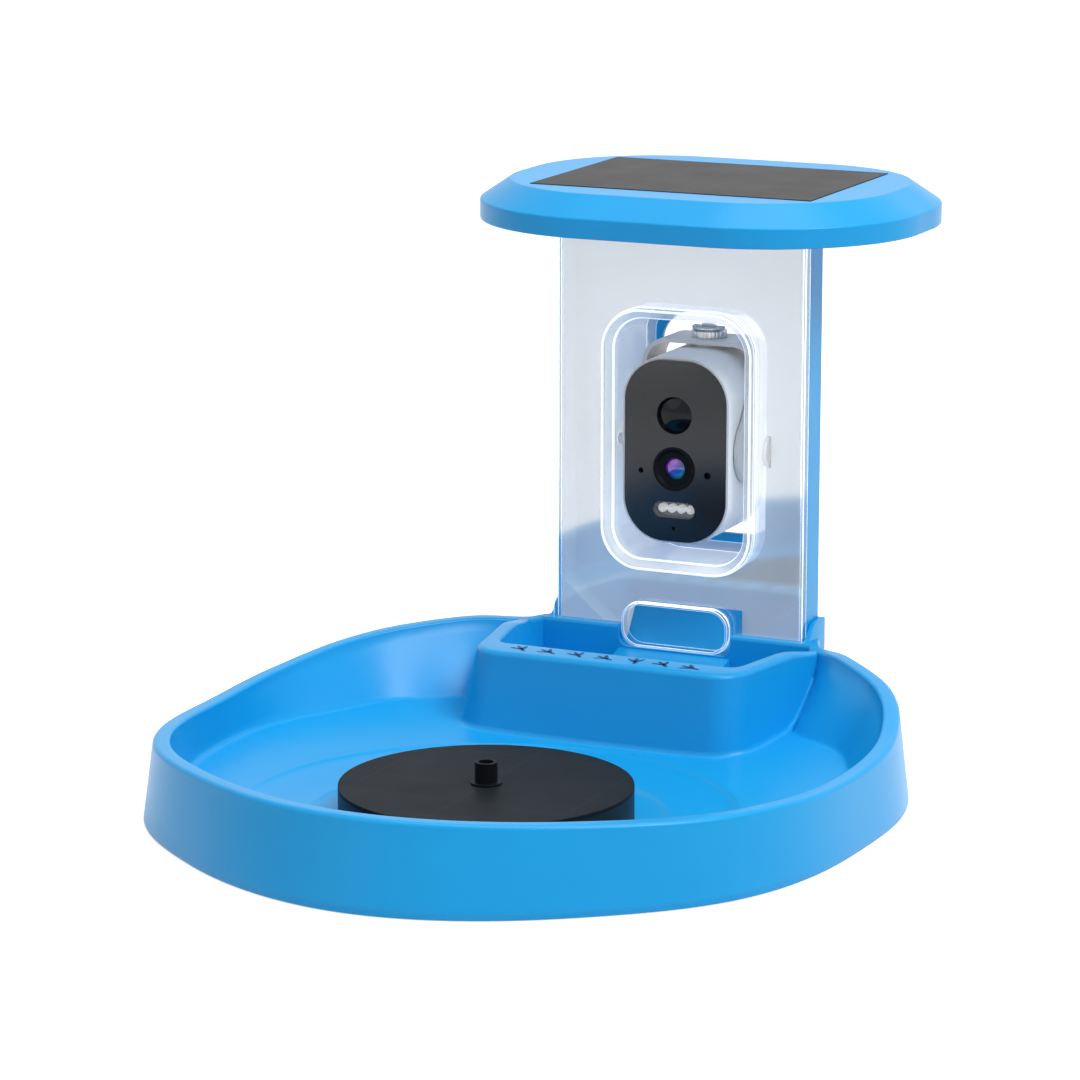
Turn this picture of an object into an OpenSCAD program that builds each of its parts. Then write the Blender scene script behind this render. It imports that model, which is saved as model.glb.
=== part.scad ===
// Bird feeder station: water basin with seed trough, clear seed hopper around a camera,
// solar roof on a rear hinge, and a floating solar fountain.

/* [Basin] */
// Plan radius of the rim straight ahead
rim_front = 171; // [166:0.5:176]
// Plan radius of the rim at the front corners
rim_corner = 165.6; // [161:0.5:170]
// Plan radius of the rim at the sides
rim_side = 159; // [155:0.5:163]
// Plan radius of the rim at the rear shoulders
rim_shoulder = 173.2; // [169:0.5:177]
// Plan radius of the rim behind the tower
rim_tail = 201.5; // [200:0.5:204]
// Rim height at the front
height_front = 39.5; // [36:0.5:43]
// Rim height at the low sides, where birds land
height_side = 32.6; // [29:0.5:36]
// Rim height at the rear shoulders
height_shoulder = 44.8; // [42:0.2:46]
// Rim height beside the tower
height_tail = 41.8; // [40:0.2:43]
// Width of the rounded rim
rim_width = 8; // [6.5:0.5:9]
// Outward lean of the skirt at the front
flare_front = 8; // [6:0.2:10]
// Outward lean of the skirt at the sides
flare_side = 3.6; // [2.5:0.1:5]
// Wall thickness of the mouldings
wall = 2.5; // [2:0.1:3]
// Floor height at the edge of the basin
floor_edge = 13; // [12:0.2:14]
// Floor height at the rim of the fountain recess
floor_ring = 8.2; // [7.6:0.1:9]
// Radius of the outer floor step
step_outer = 111; // [108:0.5:113]
// Radius of the inner floor step
step_inner = 80; // [76:0.5:84]
// Floor height under the fountain
floor_mid = 3.8; // [3.4:0.1:4.4]

/* [Seed trough] */
// Front edge of the ledge, measured from the fountain centre
ledge_front = 124; // [120:0.5:128]
// Ledge depth, front to back
ledge_depth = 15.5; // [12:0.5:18]
// Half width of the trough at the ledge
trough_half = 63.4; // [60:0.2:66]
// Half width of the trough at the tower
trough_half_back = 80; // [77:0.2:82]
// Height of the ledge
trough_top = 46.5; // [45:0.2:49]
// Height of the wall below the tower
trough_back = 42; // [40:0.2:43]
// Height of the trough floor
trough_floor = 24; // [21:0.5:27]
// Outward lean of the trough walls
trough_lean = 9; // [6:0.5:11]

/* [Tower] */
// Front plane of the tower behind the fountain centre
tower_front = 212.8; // [210:0.2:215]
// Half width of the tower
tower_half = 64.6; // [62:0.2:66]
// Depth of the tower
tower_depth = 20.8; // [20:0.2:23]
// Height of the tower top
tower_top = 238; // [234:0.5:240]
// Thickness of the clear front plate
pane = 3; // [2.5:0.1:3.4]
// Depth of the clear side flange
pane_flange = 5.6; // [5:0.1:6.4]
// Tunnel outer width
tunnel_width = 77; // [75:0.5:79]
// Tunnel outer height
tunnel_height = 126.5; // [123:0.5:129]
// Tunnel wall thickness
tunnel_wall = 5; // [4.5:0.1:5.4]
// Width of the flat edge around the tunnel's mouth
bezel_land = 1; // [0.6:0.1:1.6]
// Depth of the sloping band around the tunnel's mouth
bezel_depth = 4; // [3:0.2:5]
// Tunnel centre height
tunnel_z = 133.5; // [131:0.5:136]
// Length of the tunnel behind the front plane
tunnel_length = 52; // [49:0.2:54]
// Width of the seed outlet
outlet_width = 52.6; // [48:0.2:54]
// Height of the seed outlet
outlet_height = 19.4; // [18:0.2:20]

/* [Roof] */
// Roof width
roof_width = 218; // [210:1:226]
// Roof depth
roof_depth = 173.4; // [168:0.2:178]
// Plan corner radius of the roof
roof_corner = 77.5; // [72:0.5:82]
// Roof centre behind the fountain centre
roof_y = 251; // [248:0.2:254]
// Height by which the roof's lower edge covers the tower
roof_overlap = 2.1; // [1:0.1:3.5]
// Height of the upright roof band
roof_band = 9.4; // [8.4:0.2:10.4]
// Height of the roof from its lower edge to its top
roof_rise = 19.1; // [18:0.2:21]
// Run of the sloping shoulder in plan
roof_slope = 14.4; // [12:0.2:17]
// Radius of the roof hinge's knuckles
knuckle_r = 4.4; // [4:0.1:4.8]
// Inner end of a roof knuckle, from the middle
knuckle_in = 14.4; // [13:0.2:16]
// Outer end of a roof knuckle, from the middle
knuckle_out = 26; // [24:0.5:28]
// Clear space between hinge and junction box
box_gap = 6.1; // [4:0.1:8]
// Half width of the junction box
box_half = 21; // [18:0.5:24]
// Height of the junction box
box_height = 8; // [7.6:0.1:9]
// Seal frame's distance from the tower's side faces
gasket_inset = 6.6; // [6:0.1:8]
// Width of the seal frame's side bars
gasket_side = 3; // [2.5:0.1:3.5]
// Width of the seal frame's front and rear bars
gasket_bar = 2.4; // [2:0.1:3]
// Solar panel width
panel_width = 142.2; // [136:0.5:146]
// Solar panel depth
panel_depth = 103; // [98:0.5:106]

/* [Camera] */
// Camera centre height
camera_z = 129.8; // [128:0.2:131]
// Width of the dark face
face_width = 52; // [50:0.2:53]
// Height of the dark face
face_height = 87.4; // [86:0.2:88]
// Depth of the camera shell
shell_depth = 44; // [42:0.5:46]
// Height of the motion sensor window
pir_z = 147.2; // [146:0.2:149]
// Height of the lens
lens_z = 121.4; // [120:0.2:123]
// Height of the lamp window
lamp_z = 101.4; // [100:0.2:103]
// Radius of a battery cell
cell_r = 9.2; // [8.8:0.1:9.3]
// Length of a battery cell
cell_length = 65; // [63:0.5:66]
// Distance of a battery cell from the middle
cell_offset = 10.6; // [10:0.1:11]
// Depth of the cells' lower end below the camera's middle
cell_drop = 34; // [33:0.2:35]
// Radius of the motion sensor window
pir_r = 9; // [8:0.1:9.5]
// Outer radius of the lens ring
lens_r = 10.6; // [9.5:0.1:11.5]

/* [Fountain] */
// Diameter of the floating fountain
fountain_d = 130; // [120:1:140]
// Height of the fountain top above the table
fountain_top = 20; // [19:0.2:21]
// Outer diameter of the nozzle
nozzle_d = 10; // [9:0.2:11]
// Height of the nozzle above the disc
nozzle_rise = 10; // [8:0.2:12]

/* [Hidden] */
roof_low = tower_top - roof_overlap;
roof_top = roof_low + roof_rise;
$fn = 72;
gap = 0.3;
eps = 0.01;
plan_y = 40;
basin_low = 0.5;
mid_y = (roof_y + roof_depth / 2 + plan_y - rim_front - flare_front) / 2;

blue = [0.12, 0.55, 0.88];
pale = [0.86, 0.91, 0.95];
clear = [0.85, 0.92, 0.97, 0.4];
black = [0.06, 0.065, 0.07];
grey = [0.72, 0.73, 0.75];
white = [0.93, 0.93, 0.93];
steel = [0.68, 0.69, 0.71];
brass = [0.78, 0.6, 0.26];
green = [0.1, 0.36, 0.2];

function seg(a, ks, i = 0) = (i >= len(ks) - 2 || a < ks[i + 1]) ? i : seg(a, ks, i + 1);
function slope(ks, vs, i) =
    (i == 0 || i == len(ks) - 1) ? 0 : (vs[i + 1] - vs[i - 1]) / (ks[i + 1] - ks[i - 1]);
function smooth(a, ks, vs) =
    let (i = seg(a, ks), w = ks[i + 1] - ks[i], t = (a - ks[i]) / w)
    vs[i] * (2 * pow(t, 3) - 3 * pow(t, 2) + 1)
    + slope(ks, vs, i) * w * (pow(t, 3) - 2 * pow(t, 2) + t)
    + vs[i + 1] * (3 * pow(t, 2) - 2 * pow(t, 3))
    + slope(ks, vs, i + 1) * w * (pow(t, 3) - pow(t, 2));
function ease(t) = let (c = min(max(t, 0), 1)) c * c * (3 - 2 * c);

module place() translate([0, -mid_y, 0]) children();
module along_y(y0, y1) translate([0, y1, 0]) rotate([90, 0, 0]) linear_extrude(y1 - y0) children();
module along_x(x0, x1) translate([x0, 0, 0]) rotate([90, 0, 90]) linear_extrude(x1 - x0) children();
module rod_x(x0, x1, y, z, r) translate([x0, y, z]) rotate([0, 90, 0]) cylinder(h = x1 - x0, r = r);
module rod_y(y0, y1, x, z, r) translate([x, y1, z]) rotate([90, 0, 0]) cylinder(h = y1 - y0, r = r);
module block(x0, x1, y0, y1, z0, z1) translate([x0, y0, z0]) cube([x1 - x0, y1 - y0, z1 - z0]);
module rrect(w, h, r) {
    square([w - 2 * r, h], center = true);
    square([w, h - 2 * r], center = true);
    for (sx = [-1, 1], sy = [-1, 1])
        translate([sx * (w / 2 - r), sy * (h / 2 - r)])
            circle(r = r);
}

// A skin of rings: closed on itself, or capped by its first and last ring
module loft(rings, closed) {
    n = len(rings[0]);
    m = len(rings);
    last = closed ? m - 1 : m - 2;
    skin = [for (j = [0:last], i = [0:n - 1], h = [0, 1])
        let (k = (j + 1) % m, e = (i + 1) % n)
        h == 0 ? [j * n + i, k * n + i, k * n + e] : [j * n + i, k * n + e, j * n + e]];
    caps = closed ? [] : [[for (i = [0:n - 1]) i], [for (i = [n - 1:-1:0]) (m - 1) * n + i]];
    polyhedron(points = [for (ring = rings, p = ring) p], faces = concat(skin, caps), convexity = 8);
}

// Basin plan and heights, by angle from straight ahead
plan_angles = [0, 32, 56, 88, 111, 130, 143, 152, 156, 159, 161, 163.5, 169, 180];
plan_radii = [rim_front, rim_corner - 1.2, rim_corner, rim_side, rim_side + 6.5, rim_shoulder,
    rim_shoulder + 2.8, rim_tail - 19, rim_tail - 15, rim_tail - 6.5, rim_tail + 2, rim_tail + 5.5,
    rim_tail + 3, rim_tail];
height_angles = [0, 30, 60, 88, 108, 124, 136, 147, 157, 180];
heights = [height_front, height_front - 1.7, height_side + 3, height_side, height_side + 2.3,
    height_shoulder - 4.6, height_shoulder - 1.2, height_shoulder, height_tail, height_tail];
inset_angles = [0, 60, 80, 94, 105, 118, 131, 145, 180];
insets = [rim_width + 6, rim_width + 4, rim_width + 3, rim_width + 4.8, rim_width + 8.6, rim_width + 15.5,
    rim_width + 18, rim_width + 25, rim_width + 28];
flare_angles = [0, 24, 42, 62, 88, 115, 135, 152, 180];
flares = [flare_front, flare_front - 0.5, flare_front - 2.4, flare_front - 3.8, flare_side, flare_side + 1,
    flare_side - 0.6, 1.6, 1.6];
side_stations = concat([for (a = [5:5:145]) a],
    [149, 152, 154, 156, 157.5, 159, 160, 161, 162.2, 163.5, 166, 169, 174.5]);
stations = concat([-180], [for (i = [len(side_stations) - 1:-1:0]) -side_stations[i]], [0], side_stations);
ring_r = step_outer + 2;
floor_run = 39;

function rim_r(a) = smooth(abs(a), plan_angles, plan_radii);
function rim_z(a) = smooth(abs(a), height_angles, heights);
function inset(a) = smooth(abs(a), inset_angles, insets);
function on_plan(a, r, z) = [r * sin(a), plan_y - r * cos(a), z];
function rim_ring(d, dz) = [for (a = stations) on_plan(a, rim_r(a) - d, rim_z(a) + dz)];
function flare(a) = smooth(abs(a), flare_angles, flares);
function base_ring(d) = [for (a = stations) on_plan(a, rim_r(a) + flare(a) - d, basin_low)];
function floor_z(p) =
    floor_ring + (floor_edge - floor_ring) * min(max((norm([p[0], p[1]]) - ring_r) / floor_run, 0), 1);
function floor_line(d, dz) = [for (a = stations)
    let (p = on_plan(a, rim_r(a) - inset(a) - d, 0)) [p[0], p[1], floor_z(p) + dz]];
function mid_ring(dz) = [for (a = stations) [ring_r * sin(a), -ring_r * cos(a), floor_ring + dz]];

module basin_wall() loft([
    base_ring(0),
    rim_ring(-0.2, -3.2),
    rim_ring(0.5, -1.2),
    rim_ring(2.1, 0),
    rim_ring(rim_width - 1.8, 0),
    rim_ring(rim_width - 0.5, -0.8),
    rim_ring(rim_width, -2.2),
    floor_line(-2.2, 2.6),
    floor_line(-0.8, 0.8),
    floor_line(2, 0),
    mid_ring(0),
    mid_ring(-wall),
    floor_line(2.5, -wall),
    floor_line(-2.2 - wall * 0.4, -0.6),
    rim_ring(rim_width - wall * 0.9, -5.5),
    rim_ring(wall * 0.95, -5.5),
    base_ring(wall)
], true);

module basin_dish() rotate_extrude() polygon([
    [0, floor_mid], [step_inner - 4, floor_mid], [step_inner - 1, floor_mid + 1.3],
    [step_inner, floor_mid + 1.6], [step_outer - 4, floor_mid + 2.3], [step_outer - 1.5, floor_ring - 1],
    [step_outer, floor_ring - 0.8], [ring_r + 2.5, floor_ring - 0.8],
    [ring_r + 2.5, floor_ring - 1.7], [step_outer - 2, floor_ring - wall], [step_outer - 8, floor_mid],
    [step_inner + 2, floor_mid - 0.9], [step_inner - 3, floor_mid - wall], [0, floor_mid - wall]]);

// Trough plan: straight front, leaning sides, rounded front corners
trough_arc = 8;
trough_side = 3.4;
trough_side_back = 5.5;
trough_inner_r = 8;
function lean(yf, yb, wf, wb) = atan((wb - wf) / (yb - yf));
function trough_plan(yf, yb, wf, wb, r) =
    let (d = lean(yf, yb, wf, wb), cx = wf + r * tan(d) - r / cos(d), cy = yf + r)
    concat([[-wb, yb]],
        [for (k = [0:trough_arc]) let (q = 180 + d + (90 - d) * k / trough_arc)
            [-cx + r * cos(q), cy + r * sin(q)]],
        [for (k = [0:trough_arc]) let (q = 270 + (90 - d) * k / trough_arc)
            [cx + r * cos(q), cy + r * sin(q)]],
        [[wb, yb]]);
function ledge_z(y) = trough_top + (trough_back - trough_top) * ease((y - 172) / 32);
function outer_plan(o, yb) =
    trough_plan(ledge_front - o, yb, trough_half + o, trough_half_back + o, 15 + o / 3);
function inner_plan(o, yb) =
    trough_plan(ledge_front + ledge_depth - o, yb, trough_half - trough_side + o,
        trough_half_back - trough_side_back + o, trough_inner_r + o / 3);
function follow(plan, dz) = [for (p = plan) [p[0], p[1], ledge_z(p[1]) + dz]];
function level(plan, z) = [for (p = plan) [p[0], p[1], z]];
trough_low = 6;
pocket_front = tower_front - 0.15;
inner_back = pocket_front - wall;
seed_top = follow(inner_plan(0, inner_back), 0);
seed_low = level(inner_plan(-4, inner_back), trough_floor);

module trough_shell() loft([
    level(inner_plan(wall - 4, pocket_front + 0.2), trough_floor - wall),
    follow(inner_plan(wall, pocket_front + 0.2), -wall),
    follow(outer_plan(2.4 - wall, pocket_front + 1.2), -wall - 1),
    level(outer_plan(trough_lean - wall, pocket_front + 1.2), trough_low),
    level(outer_plan(trough_lean, pocket_front + 4), trough_low),
    follow(outer_plan(2.4, pocket_front + 4), -2.5),
    follow(outer_plan(1.7, pocket_front + 4), -1),
    follow(outer_plan(0, pocket_front + 4), 0),
    seed_top,
    seed_low
], false);

module seed_space() loft([
    seed_low,
    seed_top,
    level(inner_plan(0, inner_back), trough_top + 8)
], false);

pocket_half = tower_half + 0.15;
pocket_back = tower_front + tower_depth + 0.15;
pocket_low = 20;
block_back = pocket_back + wall + 0.4;
block_half = pocket_half + wall;
collar_top = 50;
outlet_z = 43.05;
lip_wall = 1.25;
notch_gap = 1.6;
lip_width = outlet_width + 2 * lip_wall;
lip_height = outlet_height + 2 * lip_wall;
lip_r = 9.4;
insert_y = tower_front + tower_depth / 2;
notch_half = lip_width / 2 + notch_gap;
notch_low = outlet_z - lip_height / 2 - 0.4;
ramp_top = notch_low - 0.1;
foot_places = [[-93, -80], [93, -80], [-104, 96], [104, 96]];
foot_h = 2;
boss_r = 6.5;

module tower_socket() difference() {
    union() {
        block(-block_half, block_half, inner_back + 0.4, block_back, basin_low, trough_back - 1);
        for (s = [-1, 1])
            along_x(s > 0 ? pocket_half - eps : -block_half, s > 0 ? block_half : -pocket_half + eps)
                polygon([[pocket_front, trough_back - 6], [pocket_front, trough_back],
                    [pocket_front + 3.5, trough_back + 0.8], [pocket_front + 7, collar_top - 3],
                    [pocket_front + 10, collar_top - 0.4], [pocket_front + 13, collar_top],
                    [block_back, collar_top], [block_back, trough_back - 6]]);
        block(-block_half, block_half, pocket_back, block_back, trough_back - 6, collar_top);
    }
    block(-pocket_half, pocket_half, pocket_front, pocket_back, pocket_low, collar_top + 10);
    block(-pocket_half, pocket_half, pocket_front, pocket_back, -1, pocket_low - 3);
}

module basin() color(blue) place() {
    difference() {
        union() {
            difference() {
                basin_wall();
                translate([0, 0, -1])
                    linear_extrude(floor_edge + 3)
                        polygon(outer_plan(trough_lean - wall, pocket_front + 1.2));
                block(-pocket_half, pocket_half, inner_back, pocket_back, -1, collar_top);
                seed_space();
            }
            basin_dish();
            intersection() {
                trough_shell();
                linear_extrude(collar_top)
                    polygon([for (a = stations) let (p = on_plan(a, rim_r(a) - 2, 0)) [p[0], p[1]]]);
            }
            tower_socket();
            along_x(-notch_half + 0.2, notch_half - 0.2)
                polygon([[pocket_front, trough_floor - 1], [pocket_front, ramp_top],
                    [pocket_front - 26, trough_floor + 1.5], [pocket_front - 26, trough_floor - 1]]);
            translate([0, insert_y, 3])
                cylinder(h = pocket_low - 4.5, r = 8);
            for (p = foot_places)
                translate([p[0], p[1], foot_h])
                    cylinder(h = floor_z(p) - 1.2 - foot_h, r = boss_r);
        }
        block(-pocket_half, pocket_half, pocket_front, pocket_back, pocket_low, collar_top);
        block(-notch_half, notch_half, inner_back - 1, pocket_front + 1, notch_low, collar_top);
        translate([0, insert_y, 2])
            cylinder(h = 12, r = 4.5);
    }
}

module rubber_feet() color(black) place()
    for (p = foot_places)
        translate([p[0], p[1], 0])
            cylinder(h = foot_h, r = boss_r - 0.5);

module pole_insert() color(brass) place()
    translate([0, insert_y, 3])
        difference() {
            cylinder(h = 11, r = 4.5);
            translate([0, 0, -1])
                cylinder(h = 10, r = 3.175);
        }

// Fountain
pump_r = 24;
float_top = fountain_top - 1.6;
module fountain_float() color(black) place()
    difference() {
        translate([0, 0, floor_mid])
            cylinder(h = float_top - floor_mid, r = fountain_d / 2);
        translate([0, 0, floor_mid - 1])
            cylinder(h = 10.7, r = pump_r);
        cylinder(h = fountain_top, r = nozzle_d / 2);
    }

module fountain_cells() color(black) place()
    translate([0, 0, float_top])
        difference() {
            cylinder(h = fountain_top - float_top, r = fountain_d / 2);
            translate([0, 0, -1])
                cylinder(h = 4, r = nozzle_d / 2);
        }

module fountain_intake() color(black) place()
    translate([0, 0, floor_mid])
        difference() {
            cylinder(h = 1.8, r = pump_r);
            for (k = [0:9])
                rotate([0, 0, k * 36])
                    block(9, 19, -1, 1, -1, 3);
            translate([0, 0, 0.8])
                cylinder(h = 2, r = 1);
        }

module fountain_axle() color(steel) place()
    translate([0, 0, floor_mid + 0.8])
        cylinder(h = 6.6, r = 1);

module fountain_impeller() color(white) place()
    translate([0, 0, floor_mid + 2.4])
        difference() {
            union() {
                cylinder(h = 4.2, r = 4);
                cylinder(h = 0.9, r = 13);
                for (k = [0:5])
                    rotate([0, 0, k * 60])
                        block(3.5, 13, -0.6, 0.6, 0.5, 4.2);
            }
            translate([0, 0, -1])
                cylinder(h = 8, r = 1.05);
        }

module fountain_nozzle() color(black) place()
    difference() {
        union() {
            translate([0, 0, floor_mid + 9.7])
                cylinder(h = fountain_top - floor_mid - 9.7 + nozzle_rise, r = nozzle_d / 2);
            translate([0, 0, fountain_top])
                cylinder(h = 0.9, r = nozzle_d / 2 + 1.9);
        }
        translate([0, 0, floor_mid + 8])
            cylinder(h = fountain_top + nozzle_rise, r = nozzle_d / 2 - 1.7);
    }

// Tower
tunnel_r = 20;
pivot_y = tower_front + 19.7;
pivot_z = camera_z - 0.6;
cap_r = 8;
housing_front = tower_front + pane_flange + 0.2;
housing_back = tower_front + tower_depth;
tunnel_end = tower_front + tunnel_length;
hood_back = tunnel_end + 3.2;
flange_back = housing_back + 2.4;
flange_w = tunnel_width + 24;
flange_h = tunnel_height + 24;
screw_places = [for (sx = [-1, 1], sz = [-1, 1])
    [sx * (flange_w / 2 - 7.5), tunnel_z + sz * (flange_h / 2 - 7.75)]];
hinge_y = housing_back + 4.9;
hinge_z = roof_low + 4.5;
knuckle_mid = knuckle_in - 0.4;

module tunnel_hole(grow) rrect(tunnel_width + grow, tunnel_height + grow, tunnel_r + grow / 2);

module hopper_window() color(clear) place()
    difference() {
        union() {
            block(-tower_half, tower_half, tower_front, tower_front + pane, pocket_low, tower_top);
            for (s = [-1, 1])
                block(s > 0 ? tower_half - 2.4 : -tower_half, s > 0 ? tower_half : -tower_half + 2.4,
                    tower_front, tower_front + pane_flange, pocket_low, tower_top);
            along_y(tower_front - 3, tower_front + 1)
                translate([0, outlet_z])
                    rrect(lip_width, lip_height, lip_r);
        }
        along_y(tower_front - 5, tower_front + pane + 2)
            translate([0, tunnel_z])
                tunnel_hole(0.1);
        along_y(tower_front - 5, tower_front + pane + 2)
            translate([0, outlet_z])
                rrect(outlet_width, outlet_height, lip_r - lip_wall);
    }

bezel_slope = (tunnel_wall - bezel_land) / bezel_depth;
module camera_tunnel() color(clear) place()
    difference() {
        along_y(tower_front - 3, tunnel_end)
            translate([0, tunnel_z])
                tunnel_hole(0);
        along_y(tower_front - 5, tunnel_end + 2)
            translate([0, tunnel_z])
                tunnel_hole(-2 * tunnel_wall);
        translate([0, tower_front - 3, tunnel_z])
            rotate([-90, 0, 0])
                slope_block(tunnel_width - 2 * bezel_land + 2 * bezel_slope,
                    tunnel_height - 2 * bezel_land + 2 * bezel_slope, tunnel_r - bezel_land + bezel_slope,
                    bezel_slope * (bezel_depth + 1), -1, bezel_depth);
        rod_x(-tower_half, tower_half, pivot_y, pivot_z, 3.05);
    }

// Room for the pivot caps beside the tunnel
module cap_room()
    for (s = [-1, 1])
        rod_x(s > 0 ? tunnel_width / 2 - 2 : -tunnel_width / 2 - 2.8,
            s > 0 ? tunnel_width / 2 + 2.8 : -tunnel_width / 2 + 2, pivot_y, pivot_z, cap_r + 0.4);

liner_half = tower_half - 2.8;
liner_back = housing_back - 2.6;
liner_front = tower_front + pane + gap;
funnel_half = lip_width / 2 + 0.2;
funnel_low = outlet_z - outlet_height / 2 - 1.2;
funnel_top = funnel_low + 28.8;
module hopper_liner() color(pale) place()
    difference() {
        union() {
            block(-liner_half, liner_half, liner_back - 2, liner_back, pocket_low + 4, tower_top - 2);
            for (s = [-1, 1]) {
                block(s > 0 ? liner_half - 1.8 : -liner_half, s > 0 ? liner_half : -liner_half + 1.8,
                    liner_front, liner_back, pocket_low + 4, tower_top - 2);
                along_y(liner_front, liner_back - 1)
                    polygon([[s * (liner_half - 1), pocket_low + 4], [s * (liner_half - 1), funnel_top],
                        [s * funnel_half, funnel_low], [s * funnel_half, pocket_low + 4]]);
            }
        }
        along_y(liner_back - 6, liner_back + 2)
            translate([0, tunnel_z])
                tunnel_hole(0.6);
        cap_room();
    }

module seed_chute() color(blue) place()
    along_x(-funnel_half, funnel_half)
        polygon([[liner_front, pocket_low + 4], [liner_front, funnel_low],
            [liner_back - 2.2, funnel_low + 18.6], [liner_back - 2.2, pocket_low + 4]]);

module rear_housing() color(blue) place()
    difference() {
        union() {
            block(-tower_half, tower_half, liner_back, housing_back, pocket_low, tower_top - 2);
            for (s = [-1, 1])
                block(s > 0 ? tower_half - 2.4 : -tower_half, s > 0 ? tower_half : -tower_half + 2.4,
                    housing_front, housing_back, pocket_low, tower_top - 2);
            block(-knuckle_mid, knuckle_mid, liner_back, hinge_y + 0.5, tower_top - 12, hinge_z);
            rod_x(-knuckle_mid, knuckle_mid, hinge_y, hinge_z, knuckle_r);
        }
        along_y(liner_back - 2, housing_back + 1)
            translate([0, tunnel_z])
                tunnel_hole(0.5);
        cap_room();
        rod_x(-20, 20, hinge_y, hinge_z, 2);
        for (p = screw_places)
            rod_y(liner_back - 2, housing_back + 2, p[0], p[1], 1.6);
    }

module rear_hood() color(blue) place()
    difference() {
        union() {
            along_y(housing_back, flange_back)
                translate([0, tunnel_z])
                    rrect(flange_w, flange_h, 14);
            along_y(housing_back, hood_back)
                translate([0, tunnel_z])
                    tunnel_hole(11);
        }
        along_y(housing_back - 1, hood_back - 3)
            translate([0, tunnel_z])
                tunnel_hole(6);
        along_y(hood_back - 4, hood_back + 1)
            translate([0, tunnel_z])
                rrect(tunnel_width - 16, tunnel_height - 18.5, 16);
        for (p = screw_places)
            rod_y(housing_back - 2, flange_back + 2, p[0], p[1], 1.6);
    }

module hood_screws() color(steel) place()
    for (p = screw_places) {
        rod_y(liner_back + 0.2, flange_back + 0.1, p[0], p[1], 1.5);
        difference() {
            rod_y(flange_back, flange_back + 1.8, p[0], p[1], 2.9);
            block(p[0] - 2.2, p[0] + 2.2, flange_back + 0.9, flange_back + 3, p[1] - 0.4, p[1] + 0.4);
            block(p[0] - 0.4, p[0] + 0.4, flange_back + 0.9, flange_back + 3, p[1] - 2.2, p[1] + 2.2);
        }
    }

// Roof
module slope_block(w, d, r, run, z0, z1) {
    cx = w / 2 - r;
    cy = d / 2 - r;
    for (sx = [-1, 1], sy = [-1, 1])
        translate([sx * cx, sy * cy, z0])
            cylinder(h = z1 - z0, r1 = r, r2 = r - run);
    along_x(-cx, cx)
        polygon([[-d / 2, z0], [d / 2, z0], [d / 2 - run, z1], [-d / 2 + run, z1]]);
    along_y(-cy, cy)
        polygon([[-w / 2, z0], [w / 2, z0], [w / 2 - run, z1], [-w / 2 + run, z1]]);
}

module roof_form(skin, z0, top) {
    w = roof_width - 2 * skin;
    d = roof_depth - 2 * skin;
    r = roof_corner - skin;
    crease = roof_low + roof_band - (skin > 0 ? 2.2 : 0);
    translate([0, 0, z0])
        linear_extrude(crease - z0)
            rrect(w, d, r);
    slope_block(w, d, r, roof_slope, crease, top);
}

panel_seat = roof_top - 2.6;
roof_ceiling = panel_seat - 2.4;
flange_half = tower_half + 0.4;
box_front = hinge_y + knuckle_r + box_gap;
box_y = box_front + 12;
module roof_cover() color(blue) place()
    difference() {
        union() {
            translate([0, roof_y, 0])
                difference() {
                    roof_form(0, roof_low, roof_top);
                    roof_form(wall + 0.1, roof_low - 1, roof_ceiling);
                }
            block(-flange_half - 2.2, flange_half + 2.2, tower_front - 2.6, tower_front - 0.4,
                roof_low - 1.5, roof_ceiling + 1);
            for (s = [-1, 1]) {
                block(s > 0 ? flange_half : -flange_half - 2.2, s > 0 ? flange_half + 2.2 : -flange_half,
                    tower_front - 2.6, housing_back, roof_low - 1.5, roof_ceiling + 1);
                block(s > 0 ? knuckle_in : -knuckle_out, s > 0 ? knuckle_out : -knuckle_in, hinge_y - 4,
                    hinge_y + 4, hinge_z, roof_ceiling + 1);
                rod_x(s > 0 ? knuckle_in : -knuckle_out, s > 0 ? knuckle_out : -knuckle_in, hinge_y, hinge_z,
                    knuckle_r);
            }
        }
        block(-panel_width / 2 - 0.2, panel_width / 2 + 0.2, roof_y - panel_depth / 2 - 0.2,
            roof_y + panel_depth / 2 + 0.2, panel_seat, roof_top + 2);
        block(-9, 9, box_y - 6, box_y + 6, roof_ceiling - 1, panel_seat + 1);
        rod_x(-40, 40, hinge_y, hinge_z, 2.05);
    }

module roof_hinge_pin() color(steel) place() {
    rod_x(-knuckle_out - 1, knuckle_out + 1, hinge_y, hinge_z, 2);
    rod_x(knuckle_out + 1, knuckle_out + 2.4, hinge_y, hinge_z, 3.2);
}

module solar_backing() color(white) place()
    block(-panel_width / 2, panel_width / 2, roof_y - panel_depth / 2, roof_y + panel_depth / 2, panel_seat,
        panel_seat + 1.2);

module solar_glass() color(black) place()
    block(-panel_width / 2, panel_width / 2, roof_y - panel_depth / 2, roof_y + panel_depth / 2,
        panel_seat + 1.2, panel_seat + 2.9);

module junction_box() color(black) place()
    difference() {
        block(-box_half, box_half, box_front, box_front + 30, roof_ceiling - box_height, roof_ceiling);
        rod_y(box_y - 13, box_y - 8, 0, roof_ceiling - 4, 2.6);
    }

module cable_gland() color(black) place()
    difference() {
        union() {
            rod_y(box_y - 14.2, box_y - 12, 0, roof_ceiling - 4, 3.8);
            rod_y(box_y - 12.1, box_y - 8, 0, roof_ceiling - 4, 2.6);
        }
        rod_y(box_y - 15, box_y - 7, 0, roof_ceiling - 4, 1.6);
    }

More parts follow.
